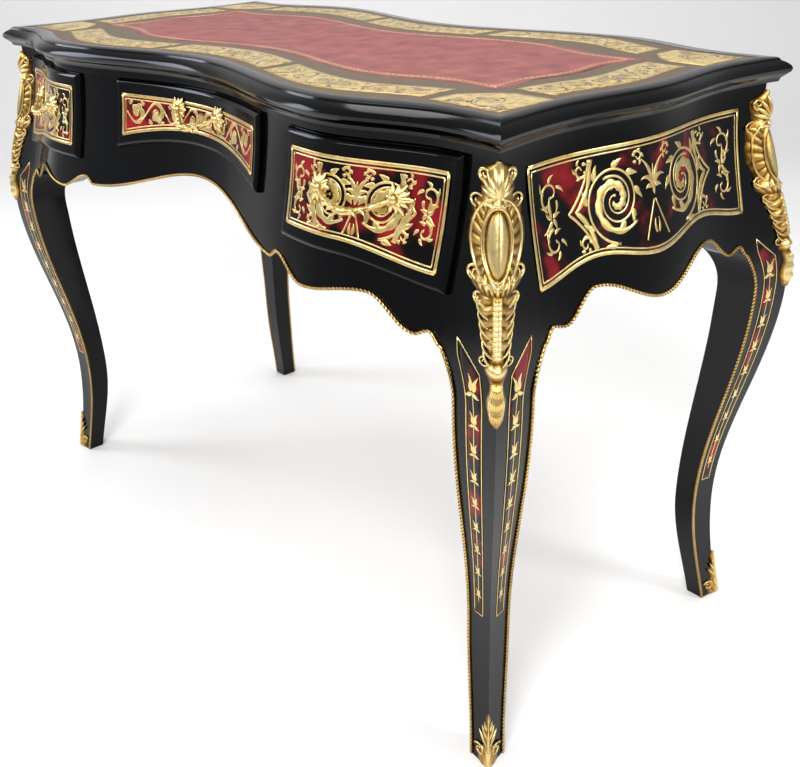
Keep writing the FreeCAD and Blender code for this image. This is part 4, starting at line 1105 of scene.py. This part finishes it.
def gilt_panel(low, high, foot, surface, marks, centre, columns, rows):
    """Gilt plate of the top's border, and its dark scrolls and dark rim line."""
    plate = panel_ground(low, high, foot, surface, PLATE_THICKNESS, columns, rows)
    keep = lambda x: foot(x) + PLATE_KEEP
    limits = (low + PLATE_KEEP, high - PLATE_KEEP)
    dark = lay_marks(marks, centre, limits, keep, surface, SCROLL_BASE, SCROLL_RISE, 2)
    dark += panel_border(low, high, foot, surface, SCROLL_BASE, RIM_INSET, RIM_WIDTH, SCROLL_RISE)
    return plate, dark


def top_panel(line, start, end, placed):
    """Plate between two lines that follow the top's edge, with a vine."""
    outer, inner = PLATE_MARGINS
    half = (inner - outer) / 2
    surface = lambda a, b, out: placed(a, line(a, -(outer + inner) / 2) + b, PLATE_SEAT + out)
    marks = vine((end - start) / 2 - 5 * MM, 2 * half - 7 * MM, PLATE_CELLS, SCROLL_WIDTH)
    return gilt_panel(np.array([start, -half]), np.array([end, half]), lambda x: np.full(np.shape(x), -half),
                      surface, marks, np.array([(start + end) / 2, 0.0]), 48, 6)


def cartouche(right, back):
    """Corner plate of the top: its inner corner cut off in a curve, with three scrolls."""
    low, high = CARTOUCHE_LOW, CARTOUCHE_HIGH
    surface = lambda a, b, out: np.stack([right * a, back * b, PLATE_SEAT + out], -1)
    cut = lambda x: low[1] + CARTOUCHE_CUT[1] * (1 - np.clip((x - low[0]) / CARTOUCHE_CUT[0], 0, 1)) ** 1.5
    marks = []
    for place, radius, start, hand, width in (((0, 0), 26, 0.8, 1, 1.2), ((26, 22), 14, 2.4, -1, 1.0),
                                              ((-26, 22), 14, 0.6, 1, 1.0)):
        marks += acanthus(np.array(place) * MM, radius * MM, start, hand, width * MM)
    return gilt_panel(low, high, cut, surface, marks, (low + high) / 2 + 6 * MM, 30, 8)


def make_top_panels():
    """All plates of the border as one gilt piece, and their scrolls as one dark piece."""
    made = []
    for back in (-1, 1):
        placed = lambda a, b, c: np.stack([a, back * b, c + 0 * a], -1)
        made += [top_panel(front_depth, start, end, placed) for start, end in LONG_PLATES]
    for right in (-1, 1):
        placed = lambda a, b, c: np.stack([right * b, a, c + 0 * a], -1)
        made.append(top_panel(side_width, -END_PLATE, END_PLATE, placed))
        made += [cartouche(right, back) for back in (-1, 1)]
    plates, darks = ([grid for part in group for grid in part] for group in zip(*made))
    make_piece("border_gilt_plates", plates, "plate", "desk_frame", ("top_border_panels",))
    make_piece("border_dark_scrolls", darks, "dark_inlay", "desk_frame")


# Scene: camera in metres, radians and pixels of the photograph
CAMERA_PLACE = (1.1551, -0.9037, 0.9721)
CAMERA_AZIMUTH, CAMERA_ELEVATION, CAMERA_ROLL = (math.radians(angle) for angle in (48.8, 26.0, -1.5))
CAMERA_FOCAL, CAMERA_CENTRE = 1002.3, (400.9, 373.5)
IMAGE_WIDTH, IMAGE_HEIGHT = 800, 767
SENSOR_WIDTH = 36.0
FLOOR_NEAR, FLOOR_FAR, FLOOR_ROUND, FLOOR_TOP, FLOOR_HALF_WIDTH = -4, 2.5, 1.2, 4.0, 6
LIGHT_TARGET = (0, 0, 0.5)
# (name, place, size, watts, tint) of the softboxes and the strip that draws the moulding's edge
LIGHTS = (("key_softbox", (1.5, -1.7, 2.5), (1.0, 0.7), 62, "#FFFFFF"),
          ("left_softbox", (-2.2, -1.6, 1.7), (0.9, 1.4), 30, "#EAF1FF"),
          ("right_softbox", (2.6, 1.0, 1.6), (0.7, 1.4), 24, "#FFFFFF"),
          ("edge_strip", (0.2, -2.6, 1.9), (2.6, 0.16), 22, "#FFFFFF"),
          ("top_softbox", (-0.2, 0.4, 2.9), (2.4, 1.6), 50, "#FFFFFF"))
ROOM_TINT, ROOM_STRENGTH = "#E9EBEE", 0.45


def finish_nodes():
    """Lacquer, oak and steel for the CAD pieces whose shapes are right."""
    replaced = {n for o in bpy.data.objects for n in o.get("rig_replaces", [])}
    finishes = {"black_lacquer": "lacquer", "border_veneer": "border", "lining_wood": "oak", "steel": "steel"}
    for entry in frame["record"]["subparts"]:
        node, slot = entry["node"], entry["material_slot"]
        if node not in replaced:
            refine_node(node, finishes[slot])


def make_floor():
    """Pale floor that sweeps up far behind the desk: flat, then a quarter round, then a wall."""
    bend = np.linspace(0.1, np.pi / 2, 12)
    run = np.concatenate([np.linspace(FLOOR_NEAR, FLOOR_FAR, 8), FLOOR_FAR + FLOOR_ROUND * np.sin(bend),
                          [FLOOR_FAR + FLOOR_ROUND]])
    rise = np.concatenate([np.zeros(8), FLOOR_ROUND - FLOOR_ROUND * np.cos(bend), [FLOOR_TOP]])
    across = np.linspace(-FLOOR_HALF_WIDTH, FLOOR_HALF_WIDTH, 5)
    ahead = np.array([-math.sin(CAMERA_AZIMUTH), math.cos(CAMERA_AZIMUTH), 0])
    level = np.array([math.cos(CAMERA_AZIMUTH), math.sin(CAMERA_AZIMUTH), 0])
    up = np.array([0, 0, 1.0])
    grid = run[:, None, None] * ahead + across[None, :, None] * level + rise[:, None, None] * up
    mesh = bpy.data.meshes.new("studio_floor")
    mesh.from_pydata(grid.reshape(-1, 3), [], grid_faces(*grid.shape[:2], False, 0))
    mesh.polygons.foreach_set("use_smooth", [True] * len(mesh.polygons))
    mesh.materials.append(MATERIALS["floor"])
    floor = bpy.data.objects.new("studio_floor", mesh)
    bpy.context.scene.collection.objects.link(floor)


def area_light(name, place, size, power, tint):
    """Softbox at a place, turned to the desk."""
    light = bpy.data.lights.new(name, "AREA")
    light.shape = "RECTANGLE"
    light.size, light.size_y = size
    light.energy = power
    light.color = linear(tint)[:3]
    lamp = bpy.data.objects.new(name, light)
    lamp.location = place
    lamp.rotation_euler = (Vector(LIGHT_TARGET) - Vector(place)).to_track_quat("-Z", "Y").to_euler()
    bpy.context.scene.collection.objects.link(lamp)


def make_lights():
    """Four softboxes, a narrow strip that draws the moulding's edge, and a dim pale room."""
    for light in LIGHTS:
        area_light(*light)
    world = bpy.data.worlds.new("studio")
    world.use_nodes = True
    room = world.node_tree.nodes["Background"].inputs
    room["Color"].default_value = linear(ROOM_TINT)
    room["Strength"].default_value = ROOM_STRENGTH
    bpy.context.scene.world = world


def make_camera():
    """The photograph's viewpoint: place in metres, focal length and centre in pixels of the photograph."""
    level, roll = math.cos(CAMERA_ELEVATION), CAMERA_ROLL
    back = Vector((math.sin(CAMERA_AZIMUTH) * level, -math.cos(CAMERA_AZIMUTH) * level,
                   math.sin(CAMERA_ELEVATION)))
    right = (-back).cross(Vector((0, 0, 1))).normalized()
    up = right.cross(-back)
    turned = right * math.cos(roll) + up * math.sin(roll)
    raised = -right * math.sin(roll) + up * math.cos(roll)
    data = bpy.data.cameras.new("photo_view")
    data.sensor_width = SENSOR_WIDTH
    data.lens = CAMERA_FOCAL * SENSOR_WIDTH / IMAGE_WIDTH
    data.shift_x = (IMAGE_WIDTH / 2 - CAMERA_CENTRE[0]) / IMAGE_WIDTH
    data.shift_y = (CAMERA_CENTRE[1] - IMAGE_HEIGHT / 2) / IMAGE_WIDTH
    data.clip_start = 0.02
    camera = bpy.data.objects.new("photo_view", data)
    facing = Matrix((turned, raised, back)).transposed().to_4x4()
    camera.matrix_world = Matrix.Translation(CAMERA_PLACE) @ facing
    bpy.context.scene.collection.objects.link(camera)
    bpy.context.scene.camera = camera


bpy.context.scene.view_settings.view_transform = "Standard"
make_marquetry()
make_leg_strips()
make_beads()
make_mounts()
for drawer in DRAWERS:
    drawer_block(drawer)
    handle(drawer)
make_leather()
make_top_panels()
finish_nodes()
make_floor()
make_lights()
make_camera()
